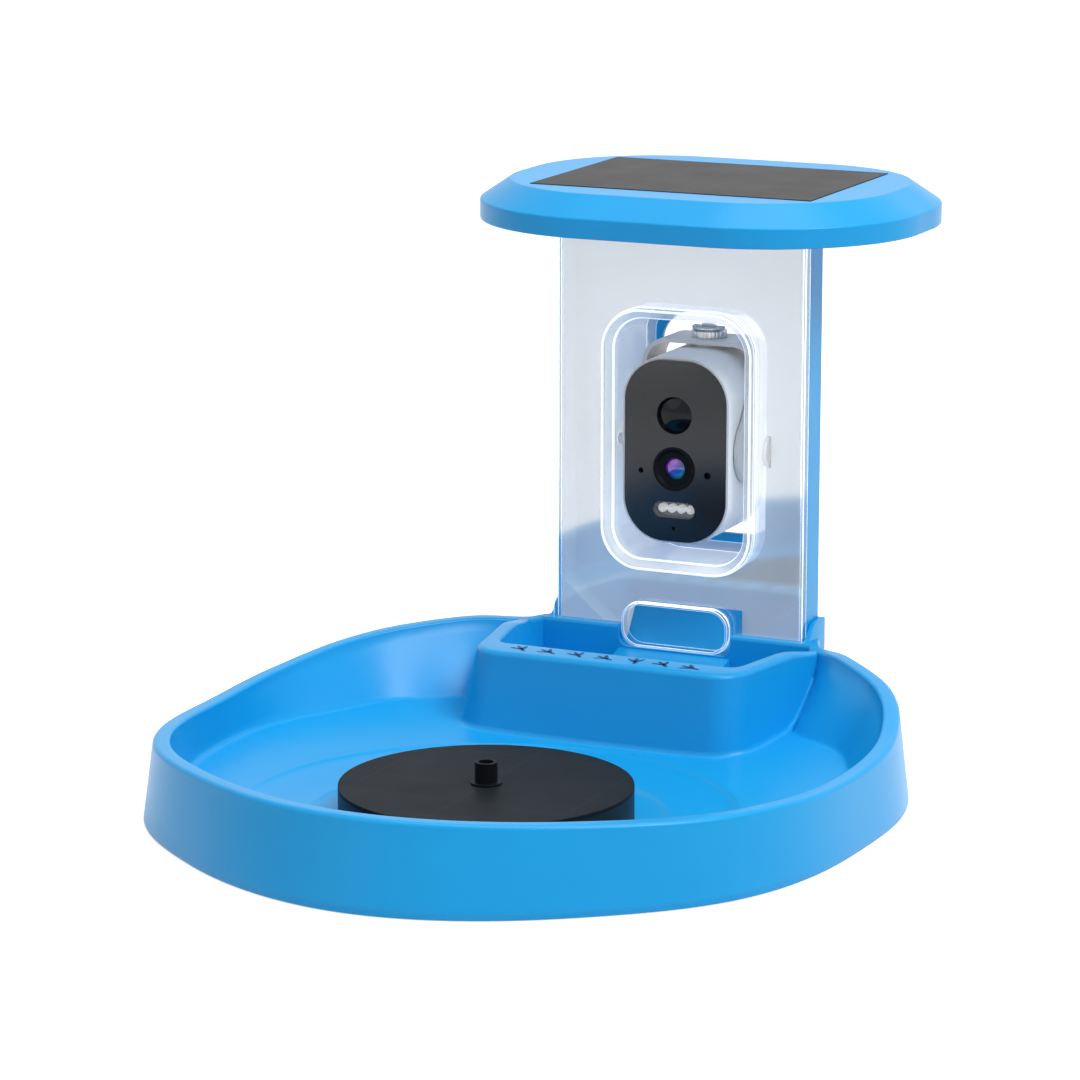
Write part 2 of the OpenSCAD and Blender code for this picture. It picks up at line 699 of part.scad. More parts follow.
gasket_half = tower_half - gasket_inset;
gasket_front = tower_front + 4.2;
gasket_back = liner_back - 3;
module roof_gasket() color(black) place()
    difference() {
        block(-gasket_half, gasket_half, gasket_front, gasket_back, tower_top + 0.4, roof_ceiling);
        block(-gasket_half + gasket_side, gasket_half - gasket_side, gasket_front + gasket_bar,
            gasket_back - gasket_bar, tower_top - 1, roof_ceiling + 1);
    }

// Camera
face_y = tower_front - 4.2;
shell_front = face_y + 1.8;
shell_back = shell_front + shell_depth;
shell_width = face_width + 2.4;
shell_height = face_height + 2.4;
shell_r = 21.7;
bulge = 280;
lamp_w = 21.4;
lamp_h = 7.8;
glass_r = 5.3;
pad_r = 9;
strap_y = pivot_y + 19;
strap_low = camera_z + shell_height / 2 + 1.7;
strap_top = strap_low + 2.1;

module shell_plan(grow)
    translate([0, camera_z])
        rrect(shell_width + grow, shell_height + grow, shell_r + grow / 2);

module camera_shell() color(white) place()
    difference() {
        union() {
            along_y(shell_front, shell_back)
                shell_plan(0);
            translate([0, strap_y, strap_low - 9])
                cylinder(h = 9, r = pad_r);
        }
        along_y(shell_front - 1, shell_front + 4.2)
            shell_plan(-2.4);
        along_y(shell_front + 4, shell_back + 1)
            shell_plan(-4);
        translate([0, strap_y, strap_low - 10])
            cylinder(h = 12, r = 4.4);
    }

module camera_insert() color(brass) place()
    translate([0, strap_y, strap_low - 9])
        difference() {
            cylinder(h = 8.8, r = 4.4);
            translate([0, 0, 1])
                cylinder(h = 9, r = 3.175);
        }

module camera_face() color(black) place()
    difference() {
        intersection() {
            along_y(face_y - 1, shell_front + 4.2)
                translate([0, camera_z])
                    rrect(face_width, face_height, shell_r - 1.2);
            translate([0, face_y + bulge, camera_z - face_height])
                cylinder(h = 2 * face_height, r = bulge, $fn = 360);
        }
        rod_y(face_y - 2, shell_front + 9, 0, pir_z, pir_r);
        rod_y(face_y - 2, shell_front + 9, 0, lens_z, lens_r);
        along_y(face_y - 2, shell_front + 9)
            translate([0, lamp_z])
                rrect(lamp_w, lamp_h, lamp_h / 2 - 0.01);
        rod_y(face_y - 2, shell_front + 9, -17.2, lens_z - 2, 1.3);
        rod_y(face_y - 2, shell_front + 9, 17, lens_z - 2, 1.7);
        rod_y(face_y - 2, shell_front + 9, 0, lamp_z - 8.8, 0.9);
    }

module pir_window() color(black) place()
    difference() {
        intersection() {
            rod_y(face_y - 1, shell_front + 4.2, 0, pir_z, pir_r);
            translate([0, face_y + 22, pir_z])
                sphere(r = 22, $fn = 180);
        }
        rod_y(face_y + 3, shell_front + 6, 0, pir_z, pir_r - 1.4);
    }

module lens_ring() color(black) place()
    difference() {
        rod_y(face_y - 0.4, shell_front + 4.2, 0, lens_z, lens_r);
        rod_y(face_y + 0.9, shell_front + 6, 0, lens_z, lens_r - 2.6);
        translate([0, face_y - 0.41, lens_z])
            rotate([-90, 0, 0])
                cylinder(h = 1.32, r1 = lens_r - 1.2, r2 = lens_r - 2.6);
    }

module lens_barrel() color(black) place()
    difference() {
        rod_y(face_y + 0.9, shell_front + 12, 0, lens_z, lens_r - 2.6);
        rod_y(face_y - 1, face_y + 5, 0, lens_z, glass_r);
    }

module lens_glass() color(clear) place()
    intersection() {
        rod_y(face_y, face_y + 5, 0, lens_z, glass_r);
        translate([0, face_y + 11.2, lens_z])
            sphere(r = 10.2);
    }

module lamp_window() color(clear) place()
    along_y(face_y + 0.5, face_y + 2)
        translate([0, lamp_z])
            rrect(lamp_w, lamp_h, lamp_h / 2 - 0.01);

lamp_pitch = 4.8;
module lamps() color(white) place()
    for (k = [-1.5:1:1.5]) {
        rod_y(face_y + 3.4, shell_front + 4.2, k * lamp_pitch, lamp_z, 2.1);
        translate([k * lamp_pitch, face_y + 4.02, lamp_z])
            sphere(r = 1.95);
    }

module front_board() color(green) place()
    difference() {
        along_y(shell_front + 4.2, shell_front + 5.4)
            shell_plan(-4);
        rod_y(shell_front + 3, shell_front + 7, 0, lens_z, lens_r - 2.6);
    }

module pir_sensor() color(steel) place()
    rod_y(face_y + 4.6, shell_front + 4.2, 0, pir_z, 4.6);

module light_sensor() color(black) place()
    rod_y(face_y + 3, shell_front + 4.2, 17, lens_z - 2, 1.7);

module camera_board() color(green) place()
    difference() {
        along_y(shell_front + 12, shell_front + 13.6)
            shell_plan(-6);
        rod_y(shell_front + 11, shell_front + 15, 0, lens_z, 4);
    }

module battery_cells() color(grey) place()
    for (s = [-1, 1])
        translate([s * cell_offset, shell_front + 13.6 + cell_r, camera_z - cell_drop])
            cylinder(h = cell_length, r = cell_r);

cap_back = shell_back + 13;
module camera_back() color(grey) place()
    difference() {
        union() {
            along_y(shell_back, shell_back + 2)
                shell_plan(0);
            along_y(shell_back - 3, shell_back + 1)
                shell_plan(-4);
            along_y(shell_back + 1, cap_back)
                shell_plan(-14);
        }
        along_y(shell_back - 4, cap_back - 2.4)
            shell_plan(-18);
        translate([0, strap_y, strap_low - 9.3])
            cylinder(h = 20, r = pad_r + gap);
        rod_y(cap_back - 4, cap_back + 2, 0, camera_z + 20, 5.3);
        along_y(cap_back - 1.9, cap_back + 2)
            translate([0, camera_z - 21])
                rrect(21, 12.8, 1.6);
        along_y(cap_back - 6, cap_back + 2)
            translate([0, camera_z - 21])
                rrect(9.6, 4, 1.9);
    }

module power_button() color(black) place() {
    rod_y(cap_back - 3, cap_back + 1.4, 0, camera_z + 20, 5.25);
    rod_y(cap_back - 3.7, cap_back - 2.5, 0, camera_z + 20, 6.6);
}

flap_z = camera_z - 21;
module usb_flap() color(black) place() {
    along_y(cap_back - 1.6, cap_back)
        translate([0, flap_z - 0.4])
            rrect(20, 11.2, 2.2);
    rod_x(-7.8, 7.8, cap_back - 0.8, flap_z + 5.2, 0.8);
    along_y(cap_back - 0.2, cap_back + 1)
        translate([0, flap_z - 4.4])
            rrect(8, 1.6, 0.79);
}

// Yoke
yoke_skin = 2.2;
yoke_half = shell_width / 2 + 0.4 + yoke_skin;
leg_r = 16.5;
strap_half = 12.4;
bend_r = 13;
module arch(half, top, r) {
    translate([-half, 60])
        square([2 * half, top - r - 60]);
    translate([-half + r, 60])
        square([2 * (half - r), top - 60]);
    for (s = [-1, 1])
        translate([s * (half - r), top - r])
            circle(r = r);
}

module yoke() color(grey) place()
    difference() {
        intersection() {
            along_y(pivot_y - 30, pivot_y + 40)
                difference() {
                    arch(yoke_half, strap_top, bend_r);
                    arch(yoke_half - yoke_skin, strap_low, bend_r - yoke_skin);
                }
            union() {
                rod_x(-40, 40, pivot_y, pivot_z, leg_r);
                along_x(-40, 40)
                    polygon([[pivot_y - 15.6, pivot_z + 4], [strap_y - strap_half, strap_low - 10],
                        [strap_y - strap_half, strap_top + 1], [strap_y + strap_half, strap_top + 1],
                        [strap_y + strap_half, strap_low - 14], [pivot_y + 16, pivot_z + 4],
                        [pivot_y, pivot_z - 8]]);
            }
        }
        rod_x(-40, 40, pivot_y, pivot_z, 3);
        translate([0, strap_y, strap_low - 1])
            cylinder(h = 6, r = 3.3);
    }

module pivot_pins() color(steel) place()
    for (s = [-1, 1]) {
        tip = yoke_half - yoke_skin;
        head = tunnel_width / 2 + 0.25;
        collar = tunnel_width / 2 - tunnel_wall - 0.3;
        rod_x(s > 0 ? tip : -head, s > 0 ? head : -tip, pivot_y, pivot_z, 3);
        rod_x(s > 0 ? yoke_half : -collar, s > 0 ? collar : -yoke_half, pivot_y, pivot_z, 5);
        rod_x(s > 0 ? head - eps : -head - 2, s > 0 ? head + 2 : -head + eps, pivot_y, pivot_z, cap_r);
    }

ring_z = strap_top + 4.7;
module camera_screw() color(steel) place()
    translate([0, strap_y, 0])
        difference() {
            union() {
                translate([0, 0, strap_low - 7])
                    cylinder(h = 7 + strap_top - strap_low + 1, r = 3.1);
                translate([0, 0, strap_top + 0.1])
                    cylinder(h = 3.3, r = 8.6);
                block(-3.2, 3.2, -2, 2, strap_top + 3, ring_z + 1.9);
            }
            rod_x(-8, 8, 0, ring_z, 1);
            for (k = [0:23])
                rotate([0, 0, k * 15])
                    translate([8.8, 0, strap_top - 1])
                        cylinder(h = 6, r = 0.5);
        }

module screw_ring() color(steel) place()
    translate([0, strap_y, ring_z]) {
        rod_x(-7.4, 7.4, 0, 0, 0.95);
        rotate([0, 0, 180])
            rotate_extrude(angle = 180)
                translate([7.4, 0])
                    circle(r = 0.95);
    }

basin();
rubber_feet();
pole_insert();
fountain_float();
fountain_cells();
fountain_intake();
fountain_impeller();
fountain_axle();
fountain_nozzle();
hopper_window();
camera_tunnel();
hopper_liner();
seed_chute();
rear_housing();
rear_hood();
hood_screws();
roof_cover();
roof_hinge_pin();
solar_backing();
solar_glass();
junction_box();
cable_gland();
roof_gasket();
yoke();
pivot_pins();
camera_screw();
screw_ring();
camera_shell();
camera_face();
camera_back();
camera_insert();
pir_window();
lens_ring();
lens_barrel();
lens_glass();
lamp_window();
lamps();
pir_sensor();
light_sensor();
front_board();
camera_board();
battery_cells();
power_button();
usb_flap();
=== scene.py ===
import bpy
import bmesh
import math
import numpy as np
from mathutils import Vector, Matrix
from mathutils.bvhtree import BVHTree


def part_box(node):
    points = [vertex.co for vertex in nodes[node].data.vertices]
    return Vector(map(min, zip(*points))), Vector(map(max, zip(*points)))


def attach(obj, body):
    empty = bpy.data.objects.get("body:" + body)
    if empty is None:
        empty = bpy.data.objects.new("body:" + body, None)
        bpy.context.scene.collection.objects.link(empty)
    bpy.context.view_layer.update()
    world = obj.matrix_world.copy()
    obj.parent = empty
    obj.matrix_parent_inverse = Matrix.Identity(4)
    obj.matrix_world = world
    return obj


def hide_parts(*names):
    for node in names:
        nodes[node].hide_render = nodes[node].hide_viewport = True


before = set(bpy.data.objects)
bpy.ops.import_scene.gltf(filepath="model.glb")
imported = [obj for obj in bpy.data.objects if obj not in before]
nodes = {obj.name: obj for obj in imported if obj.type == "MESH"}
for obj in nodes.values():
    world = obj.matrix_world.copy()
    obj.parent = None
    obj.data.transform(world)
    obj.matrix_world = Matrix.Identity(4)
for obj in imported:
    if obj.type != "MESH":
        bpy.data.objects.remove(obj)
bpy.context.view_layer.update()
scene = bpy.context.scene
mm = 0.001
midY = 99.35  # fountain centre to the frame's origin, in millimetres
print("frame loaded:", len(nodes), "solids")


# camera, fitted to the photograph
viewSet = {
    "place": (791.6, -1665.9, 540.7), "turn": 24.684, "down": 12.578,
    "lens": 145.7, "sensor": 36, "reach": 20,
}


def makeCamera(s):
    data = bpy.data.cameras.new("photoCamera")
    data.sensor_width = s["sensor"]
    data.lens = s["lens"]
    data.clip_end = s["reach"]
    cam = bpy.data.objects.new("photoCamera", data)
    x, y, z = s["place"]
    cam.location = (x * mm, (y - midY) * mm, z * mm)
    cam.rotation_euler = (math.radians(90 - s["down"]), 0, math.radians(s["turn"]))
    scene.collection.objects.link(cam)
    scene.camera = cam


makeCamera(viewSet)


# light and stage, in metres
lampSet = {
    "keyLamp": {"place": (1.75, -0.55, 2.4), "size": 1.5, "power": 58, "aim": (0, 0.05, 0.08)},
    "topLamp": {"place": (0.1, 0.2, 2.9), "size": 2.2, "power": 33, "aim": (0, 0.05, 0)},
    "fillLamp": {"place": (-1.4, -2.4, 1.4), "size": 2.2, "power": 8, "aim": (0, 0, 0.1)},
}
roomSet = {
    "lightLevel": 0.35, "seenLevel": 1.0,
    "floorColour": (0.7, 0.7, 0.7, 1), "floorLift": 0.72, "floorRough": 0.9, "floorHalf": 6,
}


def makeLamp(name, s):
    data = bpy.data.lights.new(name, "AREA")
    data.shape = "DISK"
    data.size = s["size"]
    data.energy = s["power"]
    lamp = bpy.data.objects.new(name, data)
    lamp.location = s["place"]
    aim = Vector(s["aim"]) - Vector(s["place"])
    lamp.rotation_euler = aim.to_track_quat("-Z", "Y").to_euler()
    scene.collection.objects.link(lamp)


def seenRays(tree):  # 1 for rays from the camera, in reflections and through clear pieces
    path = tree.nodes.new("ShaderNodeLightPath")
    last = path.outputs["Is Camera Ray"]
    for kind in ("Is Glossy Ray", "Is Transmission Ray"):
        either = tree.nodes.new("ShaderNodeMath")
        either.operation = "MAXIMUM"
        tree.links.new(last, either.inputs[0])
        tree.links.new(path.outputs[kind], either.inputs[1])
        last = either.outputs[0]
    return last


def makeWorld(s):
    world = bpy.data.worlds.new("softRoom")
    world.use_nodes = True
    scene.world = world
    tree = world.node_tree
    back = tree.nodes["Background"]
    back.inputs["Color"].default_value = (1, 1, 1, 1)
    strength = tree.nodes.new("ShaderNodeMapRange")
    strength.inputs["To Min"].default_value = s["lightLevel"]
    strength.inputs["To Max"].default_value = s["seenLevel"]
    tree.links.new(seenRays(tree), strength.inputs["Value"])
    tree.links.new(strength.outputs["Result"], back.inputs["Strength"])


def makeFloor(s):
    mesh = bpy.data.meshes.new("paleFloor")
    half = s["floorHalf"]
    corners = [(-half, -half, 0), (half, -half, 0), (half, half, 0), (-half, half, 0)]
    mesh.from_pydata(corners, [], [(0, 1, 2, 3)])
    floor = bpy.data.objects.new("paleFloor", mesh)
    scene.collection.objects.link(floor)
    mat = bpy.data.materials.new("paleFloor")
    mat.use_nodes = True
    tree = mat.node_tree
    shader = tree.nodes["Principled BSDF"]
    shader.inputs["Base Color"].default_value = s["floorColour"]
    shader.inputs["Roughness"].default_value = s["floorRough"]
    shader.inputs["Specular IOR Level"].default_value = 0.0
    shader.inputs["Emission Color"].default_value = (1, 1, 1, 1)
    lift = tree.nodes.new("ShaderNodeMath")  # white where it is seen, plain where it lights the object
    lift.operation = "MULTIPLY"
    lift.inputs[1].default_value = s["floorLift"]
    tree.links.new(seenRays(tree), lift.inputs[0])
    tree.links.new(lift.outputs[0], shader.inputs["Emission Strength"])
    mesh.materials.append(mat)


scene.view_settings.view_transform = "Standard"
for lampName, lampValues in lampSet.items():
    makeLamp(lampName, lampValues)
makeWorld(roomSet)
makeFloor(roomSet)
print("camera, lamps and floor set")


# finishes
patchSpan = (0.3, 0.7)  # noise levels between which the first tone turns into the second
patchDetail = 3.0
grainDetail = 2.0
paintedGlowTint = (0.85, 0.93, 1.0, 1)  # tint of the painted glow on clear and pale plastic


def shaderOf(mat):
    return mat.node_tree.nodes["Principled BSDF"]


def finish(name, colour, rough, gloss=0.5, **sockets):
    mat = bpy.data.materials.new(name)
    mat.use_nodes = True
    shader = shaderOf(mat)
    shader.inputs["Base Color"].default_value = (*colour, 1)
    shader.inputs["Roughness"].default_value = rough
    shader.inputs["Specular IOR Level"].default_value = gloss
    for key, value in sockets.items():
        shader.inputs[key].default_value = value
    return mat


def node(mat, kind, **values):
    made = mat.node_tree.nodes.new(kind)
    for key, value in values.items():
        if key in made.inputs:
            made.inputs[key].default_value = value
        else:
            setattr(made, key, value)
    return made


def link(mat, a, b):
    mat.node_tree.links.new(a, b)


def objectPlace(mat):
    return node(mat, "ShaderNodeTexCoord").outputs["Object"]


def noiseLevel(mat, scale, detail):
    noise = node(mat, "ShaderNodeTexNoise", Scale=scale, Detail=detail)
    link(mat, objectPlace(mat), noise.inputs["Vector"])
    return noise.outputs["Fac"]


def grainBump(mat, scale, strength, distance):  # fine moulding grain
    bump = node(mat, "ShaderNodeBump", Strength=strength, Distance=distance)
    link(mat, noiseLevel(mat, scale, grainDetail), bump.inputs["Height"])
    link(mat, bump.outputs["Normal"], shaderOf(mat).inputs["Normal"])


def patchy(mat, socket, scale, low, high):  # slow change of tone or gloss
    ramp = node(mat, "ShaderNodeValToRGB")
    for stop, spot, tone in zip(ramp.color_ramp.elements, patchSpan, (low, high)):
        stop.position = spot
        stop.color = tone
    link(mat, noiseLevel(mat, scale, patchDetail), ramp.inputs["Fac"])
    link(mat, ramp.outputs["Color"], shaderOf(mat).inputs[socket])


def mapped(mat, level, low, high):
    span = node(mat, "ShaderNodeMapRange")
    span.inputs["To Min"].default_value = low
    span.inputs["To Max"].default_value = high
    link(mat, level, span.inputs["Value"])
    return span.outputs["Result"]


def glow(mat, colour, strength):
    shaderOf(mat).inputs["Emission Color"].default_value = colour
    shaderOf(mat).inputs["Emission Strength"].default_value = strength


def rimOpacityAndPaintedGlow(mat, alphas, glows):  # faces marked as rims turn more opaque and get a painted glow
    shader = shaderOf(mat)
    shader.inputs["Emission Color"].default_value = paintedGlowTint
    for socket, (flat, lit) in (("Alpha", alphas), ("Emission Strength", glows)):
        mark = node(mat, "ShaderNodeAttribute", attribute_name="rim")
        link(mat, mapped(mat, mark.outputs["Fac"], flat, lit), shader.inputs[socket])


def grey(v):
    return (v, v, v, 1)


bluePlastic = finish("bluePlastic", (0.006, 0.33, 0.72), 0.32, 0.25)
patchy(bluePlastic, "Base Color", 9, (0.0055, 0.32, 0.705, 1), (0.0065, 0.34, 0.735, 1))
grainBump(bluePlastic, 1500, 0.06, 0.0002)

clearPlastic = finish("clearPlastic", (0.96, 0.98, 1.0), 0.05, Metallic=1.0)  # mirrors as a pane does
patchy(clearPlastic, "Roughness", 22, grey(0.03), grey(0.08))
# the pane's rim faces get a painted glow
rimOpacityAndPaintedGlow(clearPlastic, (0.17, 0.85), (0.0, 0.5))

milkyPlastic = finish("milkyPlastic", (0.95, 0.97, 1.0), 0.14, IOR=1.5)
patchy(milkyPlastic, "Roughness", 30, grey(0.1), grey(0.2))
# the sleeve gets a faint painted glow all over, stronger on its rim faces
rimOpacityAndPaintedGlow(milkyPlastic, (0.34, 0.98), (0.06, 0.7))

palePaintedGlowPlastic = finish("palePaintedGlowPlastic", (0.35, 0.4, 0.44), 0.45)
patchy(palePaintedGlowPlastic, "Base Color", 14, (0.31, 0.36, 0.4, 1), (0.39, 0.44, 0.48, 1))
grainBump(palePaintedGlowPlastic, 900, 0.08, 0.0002)
# painted glow that brightens the liner behind the pane
glow(palePaintedGlowPlastic, paintedGlowTint, 0.27)

shellWhite = finish("shellWhite", (0.88, 0.88, 0.89), 0.38)
patchy(shellWhite, "Base Color", 20, (0.86, 0.86, 0.87, 1), (0.9, 0.9, 0.91, 1))
grainBump(shellWhite, 1800, 0.08, 0.0002)

yokeGrey = finish("yokeGrey", (0.66, 0.67, 0.69), 0.42)
patchy(yokeGrey, "Base Color", 30, (0.62, 0.63, 0.65, 1), (0.7, 0.71, 0.73, 1))
grainBump(yokeGrey, 1500, 0.1, 0.0002)

faceBlack = finish("faceBlack", (0.012, 0.014, 0.017), 0.25)
patchy(faceBlack, "Roughness", 12, grey(0.2), grey(0.3))

pirDark = finish("pirDark", (0.004, 0.006, 0.01), 0.1, 0.2)
patchy(pirDark, "Roughness", 80, grey(0.06), grey(0.14))

softBlack = finish("softBlack", (0.004, 0.005, 0.006), 0.5, 0.08)
patchy(softBlack, "Base Color", 25, (0.003, 0.004, 0.005, 1), (0.006, 0.007, 0.008, 1))
grainBump(softBlack, 1200, 0.15, 0.0003)

floatFoam = finish("floatFoam", (0.009, 0.012, 0.015), 0.5, 0.2)
patchy(floatFoam, "Base Color", 40, (0.007, 0.01, 0.012, 1), (0.011, 0.014, 0.018, 1))
grainBump(floatFoam, 1200, 0.15, 0.0003)

footRubber = finish("footRubber", (0.02, 0.02, 0.02), 0.7)
patchy(footRubber, "Base Color", 40, grey(0.015), grey(0.028))
grainBump(footRubber, 700, 0.2, 0.0004)

turnedSteel = finish("turnedSteel", (0.56, 0.57, 0.59), 0.28, Metallic=1.0)
patchy(turnedSteel, "Roughness", 90, grey(0.2), grey(0.36))

turnedBrass = finish("turnedBrass", (0.68, 0.46, 0.16), 0.3, Metallic=1.0)
patchy(turnedBrass, "Roughness", 90, grey(0.22), grey(0.4))

boardGreen = finish("boardGreen", (0.02, 0.14, 0.05), 0.4)
patchy(boardGreen, "Base Color", 120, (0.016, 0.11, 0.04, 1), (0.03, 0.17, 0.07, 1))

boardWhite = finish("boardWhite", (0.75, 0.74, 0.7), 0.6)
patchy(boardWhite, "Base Color", 40, (0.7, 0.69, 0.65, 1), (0.78, 0.77, 0.73, 1))

boardGrey = finish("boardGrey", (0.17, 0.175, 0.18), 0.5)
patchy(boardGrey, "Base Color", 120, (0.14, 0.145, 0.15, 1), (0.2, 0.205, 0.21, 1))

cellWrap = finish("cellWrap", (0.04, 0.1, 0.26), 0.3)
patchy(cellWrap, "Roughness", 30, grey(0.25), grey(0.4))

lampWhite = finish("lampWhite", (0.9, 0.89, 0.84), 0.25)
patchy(lampWhite, "Base Color", 500, (0.86, 0.84, 0.72, 1), (0.93, 0.93, 0.9, 1))
glow(lampWhite, (1, 1, 0.97, 1), 0.3)

lampClear = finish("lampClear", (0.85, 0.87, 0.9), 0.06, IOR=1.45, Alpha=0.1)
patchy(lampClear, "Roughness", 60, grey(0.03), grey(0.1))

# painted shade: the tracks are darker blue in place of the shadows in the moulded prints
trackPaintedShade = finish("trackPaintedShade", (0.003, 0.075, 0.22), 0.45, 0.1)
patchy(trackPaintedShade, "Base Color", 60, (0.0025, 0.065, 0.19, 1), (0.0035, 0.085, 0.25, 1))


# solar cells, with sizes in metres
roofCellSet = {
    "colour": (0.019, 0.019, 0.021), "line": (0.034, 0.034, 0.037), "pitch": (0.0355, 0.0172),
    "lineWidth": 0.0005, "rough": 0.42, "roughSwing": 0.06, "roughScale": 35, "gloss": 0.1,
}
discCellSet = {
    "colour": (0.011, 0.014, 0.017), "line": (0.02, 0.023, 0.027), "pitch": (0.052, 0.026),
    "lineWidth": 0.0005, "rough": 0.5, "roughSwing": 0.06, "roughScale": 35, "gloss": 0.04,
}


def solarFinish(name, s):
    mat = finish(name, s["colour"], s["rough"], s["gloss"])
    shader = shaderOf(mat)
    split = node(mat, "ShaderNodeSeparateXYZ")
    link(mat, objectPlace(mat), split.inputs[0])
    both = node(mat, "ShaderNodeMath", operation="MAXIMUM")
    for place, axis in enumerate("XY"):
        wave = node(mat, "ShaderNodeMath", operation="PINGPONG")
        link(mat, split.outputs[axis], wave.inputs[0])
        wave.inputs[1].default_value = s["pitch"][place] / 2
        line = node(mat, "ShaderNodeMath", operation="LESS_THAN")
        link(mat, wave.outputs[0], line.inputs[0])
        line.inputs[1].default_value = s["lineWidth"] / 2
        link(mat, line.outputs[0], both.inputs[place])
    mix = node(mat, "ShaderNodeMix", data_type="RGBA")  # its colour sockets are 6, 7 and 2
    mix.inputs[6].default_value = (*s["colour"], 1)
    mix.inputs[7].default_value = (*s["line"], 1)
    link(mat, both.outputs[0], mix.inputs[0])
    link(mat, mix.outputs[2], shader.inputs["Base Color"])
    low, high = s["rough"] - s["roughSwing"], s["rough"] + s["roughSwing"]
    level = noiseLevel(mat, s["roughScale"], grainDetail)
    link(mat, mapped(mat, level, low, high), shader.inputs["Roughness"])
    return mat


roofCells = solarFinish("roofCells", roofCellSet)
discCells = solarFinish("discCells", discCellSet)


# lens with a real clear coat and a painted reflection tint, purple at the upper left and cyan at the lower
# right
lensSet = {
    "colour": (0.03, 0.02, 0.09), "rough": 0.05, "coat": 1.0, "slope": (0.6, 0, -0.8),
    "reflectionTints": ((0.05, (0.3, 0.05, 0.55, 1)), (0.35, (0.32, 0.06, 0.62, 1)), (0.55, (0.05, 0.05, 0.4, 1)),
              (0.7, (0.03, 0.12, 0.6, 1)), (0.95, (0.02, 0.42, 0.6, 1))),
}


def lensFinish(box, s):
    mat = finish("lensCoatAndPaintedReflection", s["colour"], s["rough"])
    shader = shaderOf(mat)
    shader.inputs["Coat Weight"].default_value = s["coat"]
    reach = (box[1].x - box[0].x) / 2
    away = node(mat, "ShaderNodeVectorMath", operation="SUBTRACT")
    link(mat, objectPlace(mat), away.inputs[0])
    away.inputs[1].default_value = (box[0] + box[1]) / 2
    across = node(mat, "ShaderNodeVectorMath", operation="DOT_PRODUCT")
    link(mat, away.outputs["Vector"], across.inputs[0])
    across.inputs[1].default_value = [part / reach for part in s["slope"]]
    span = node(mat, "ShaderNodeMapRange")  # from -1 at one edge of the lens to 1 at the other
    span.inputs["From Min"].default_value = -1
    link(mat, across.outputs["Value"], span.inputs["Value"])
    # painted reflection tint across the lens
    ramp = node(mat, "ShaderNodeValToRGB")
    stops = ramp.color_ramp.elements
    stops[0].position, stops[0].color = s["reflectionTints"][0]
    stops[1].position, stops[1].color = s["reflectionTints"][-1]
    for spot, colour in s["reflectionTints"][1:-1]:
        stops.new(spot).color = colour
    link(mat, span.outputs["Result"], ramp.inputs["Fac"])
    link(mat, ramp.outputs["Color"], shader.inputs["Base Color"])
    return mat


lensCoatAndPaintedReflection = lensFinish(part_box("lens_glass"), lensSet)
print("finishes made")


# mesh tools
softSet = {
    "weld": 2e-6, "partWeld": 1e-4, "flatAngle": 0.6, "sharpAngle": 32, "smoothAngle": 35,
    "profile": 0.6, "flatWeight": 100, "wideShare": 2, "facing": 0.93,
}


def newPiece(name, mesh, body, mat, smoothAngle=softSet["smoothAngle"]):
    for face in mesh.polygons:
        face.use_smooth = True
    mesh.set_sharp_from_angle(angle=math.radians(smoothAngle))
    piece = bpy.data.objects.new(name, mesh)
    scene.collection.objects.link(piece)
    mesh.materials.clear()
    mesh.materials.append(mat)
    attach(piece, body)
    return piece


def evaluatedMesh(piece):
    return bpy.data.meshes.new_from_object(piece.evaluated_get(bpy.context.evaluated_depsgraph_get()))


def bevelCrisp(bm, sharpAngle, size, segments, chosen=None):
    crisp = [e for e in bm.edges if e.is_manifold and e.calc_face_angle() > math.radians(sharpAngle)
             and (chosen is None or chosen(e))]
    made = bmesh.ops.bevel(bm, geom=crisp, offset=size, segments=segments, profile=softSet["profile"],
                           affect="EDGES", clamp_overlap=True)
    return made["faces"]


def roundedCopy(nodeName, body, mat, edge, segments=2, sharpAngle=softSet["sharpAngle"],
                wide=None, marks=None, split=None):
    bm = bmesh.new()
    bm.from_mesh(nodes[nodeName].data)
    bmesh.ops.remove_doubles(bm, verts=bm.verts, dist=softSet["weld"])
    bmesh.ops.dissolve_limit(bm, angle_limit=math.radians(softSet["flatAngle"]),
                             verts=bm.verts, edges=bm.edges)
    if edge > 0:
        rim = bm.faces.layers.float.new("rim")  # marks the faces that the clear finishes make more opaque and paint with a glow
        if split:
            bmesh.ops.bisect_plane(bm, geom=bm.verts[:] + bm.edges[:] + bm.faces[:],
                                   plane_co=(0, split, 0), plane_no=(0, 1, 0))
        if wide:
            for face in bevelCrisp(bm, sharpAngle, edge * softSet["wideShare"] * mm, segments, wide):
                face[rim] = 1.0
        for face in bevelCrisp(bm, sharpAngle, edge * mm, segments):
            face[rim] = 1.0
        if marks:
            for face in bm.faces:
                face[rim] = max(face[rim], marks(face))
    bm.verts.index_update()
    steady = sorted(bm.faces, key=lambda f: sorted(v.index for v in f.verts))
    places = {face: i for i, face in enumerate(steady)}
    bm.faces.sort(key=places.get)  # bevel leaves the faces in a new order each run
    mesh = bpy.data.meshes.new(nodeName + "Skin")
    bm.to_mesh(mesh)
    bm.free()
    piece = newPiece(nodeName + "Skin", mesh, body, mat)
    flatten = piece.modifiers.new("flatten", "WEIGHTED_NORMAL")  # flat faces keep flat reflections
    flatten.weight = softSet["flatWeight"]
    flatten.keep_sharp = True
    piece.data = evaluatedMesh(piece)
    piece.modifiers.remove(flatten)
    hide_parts(nodeName)
    return piece


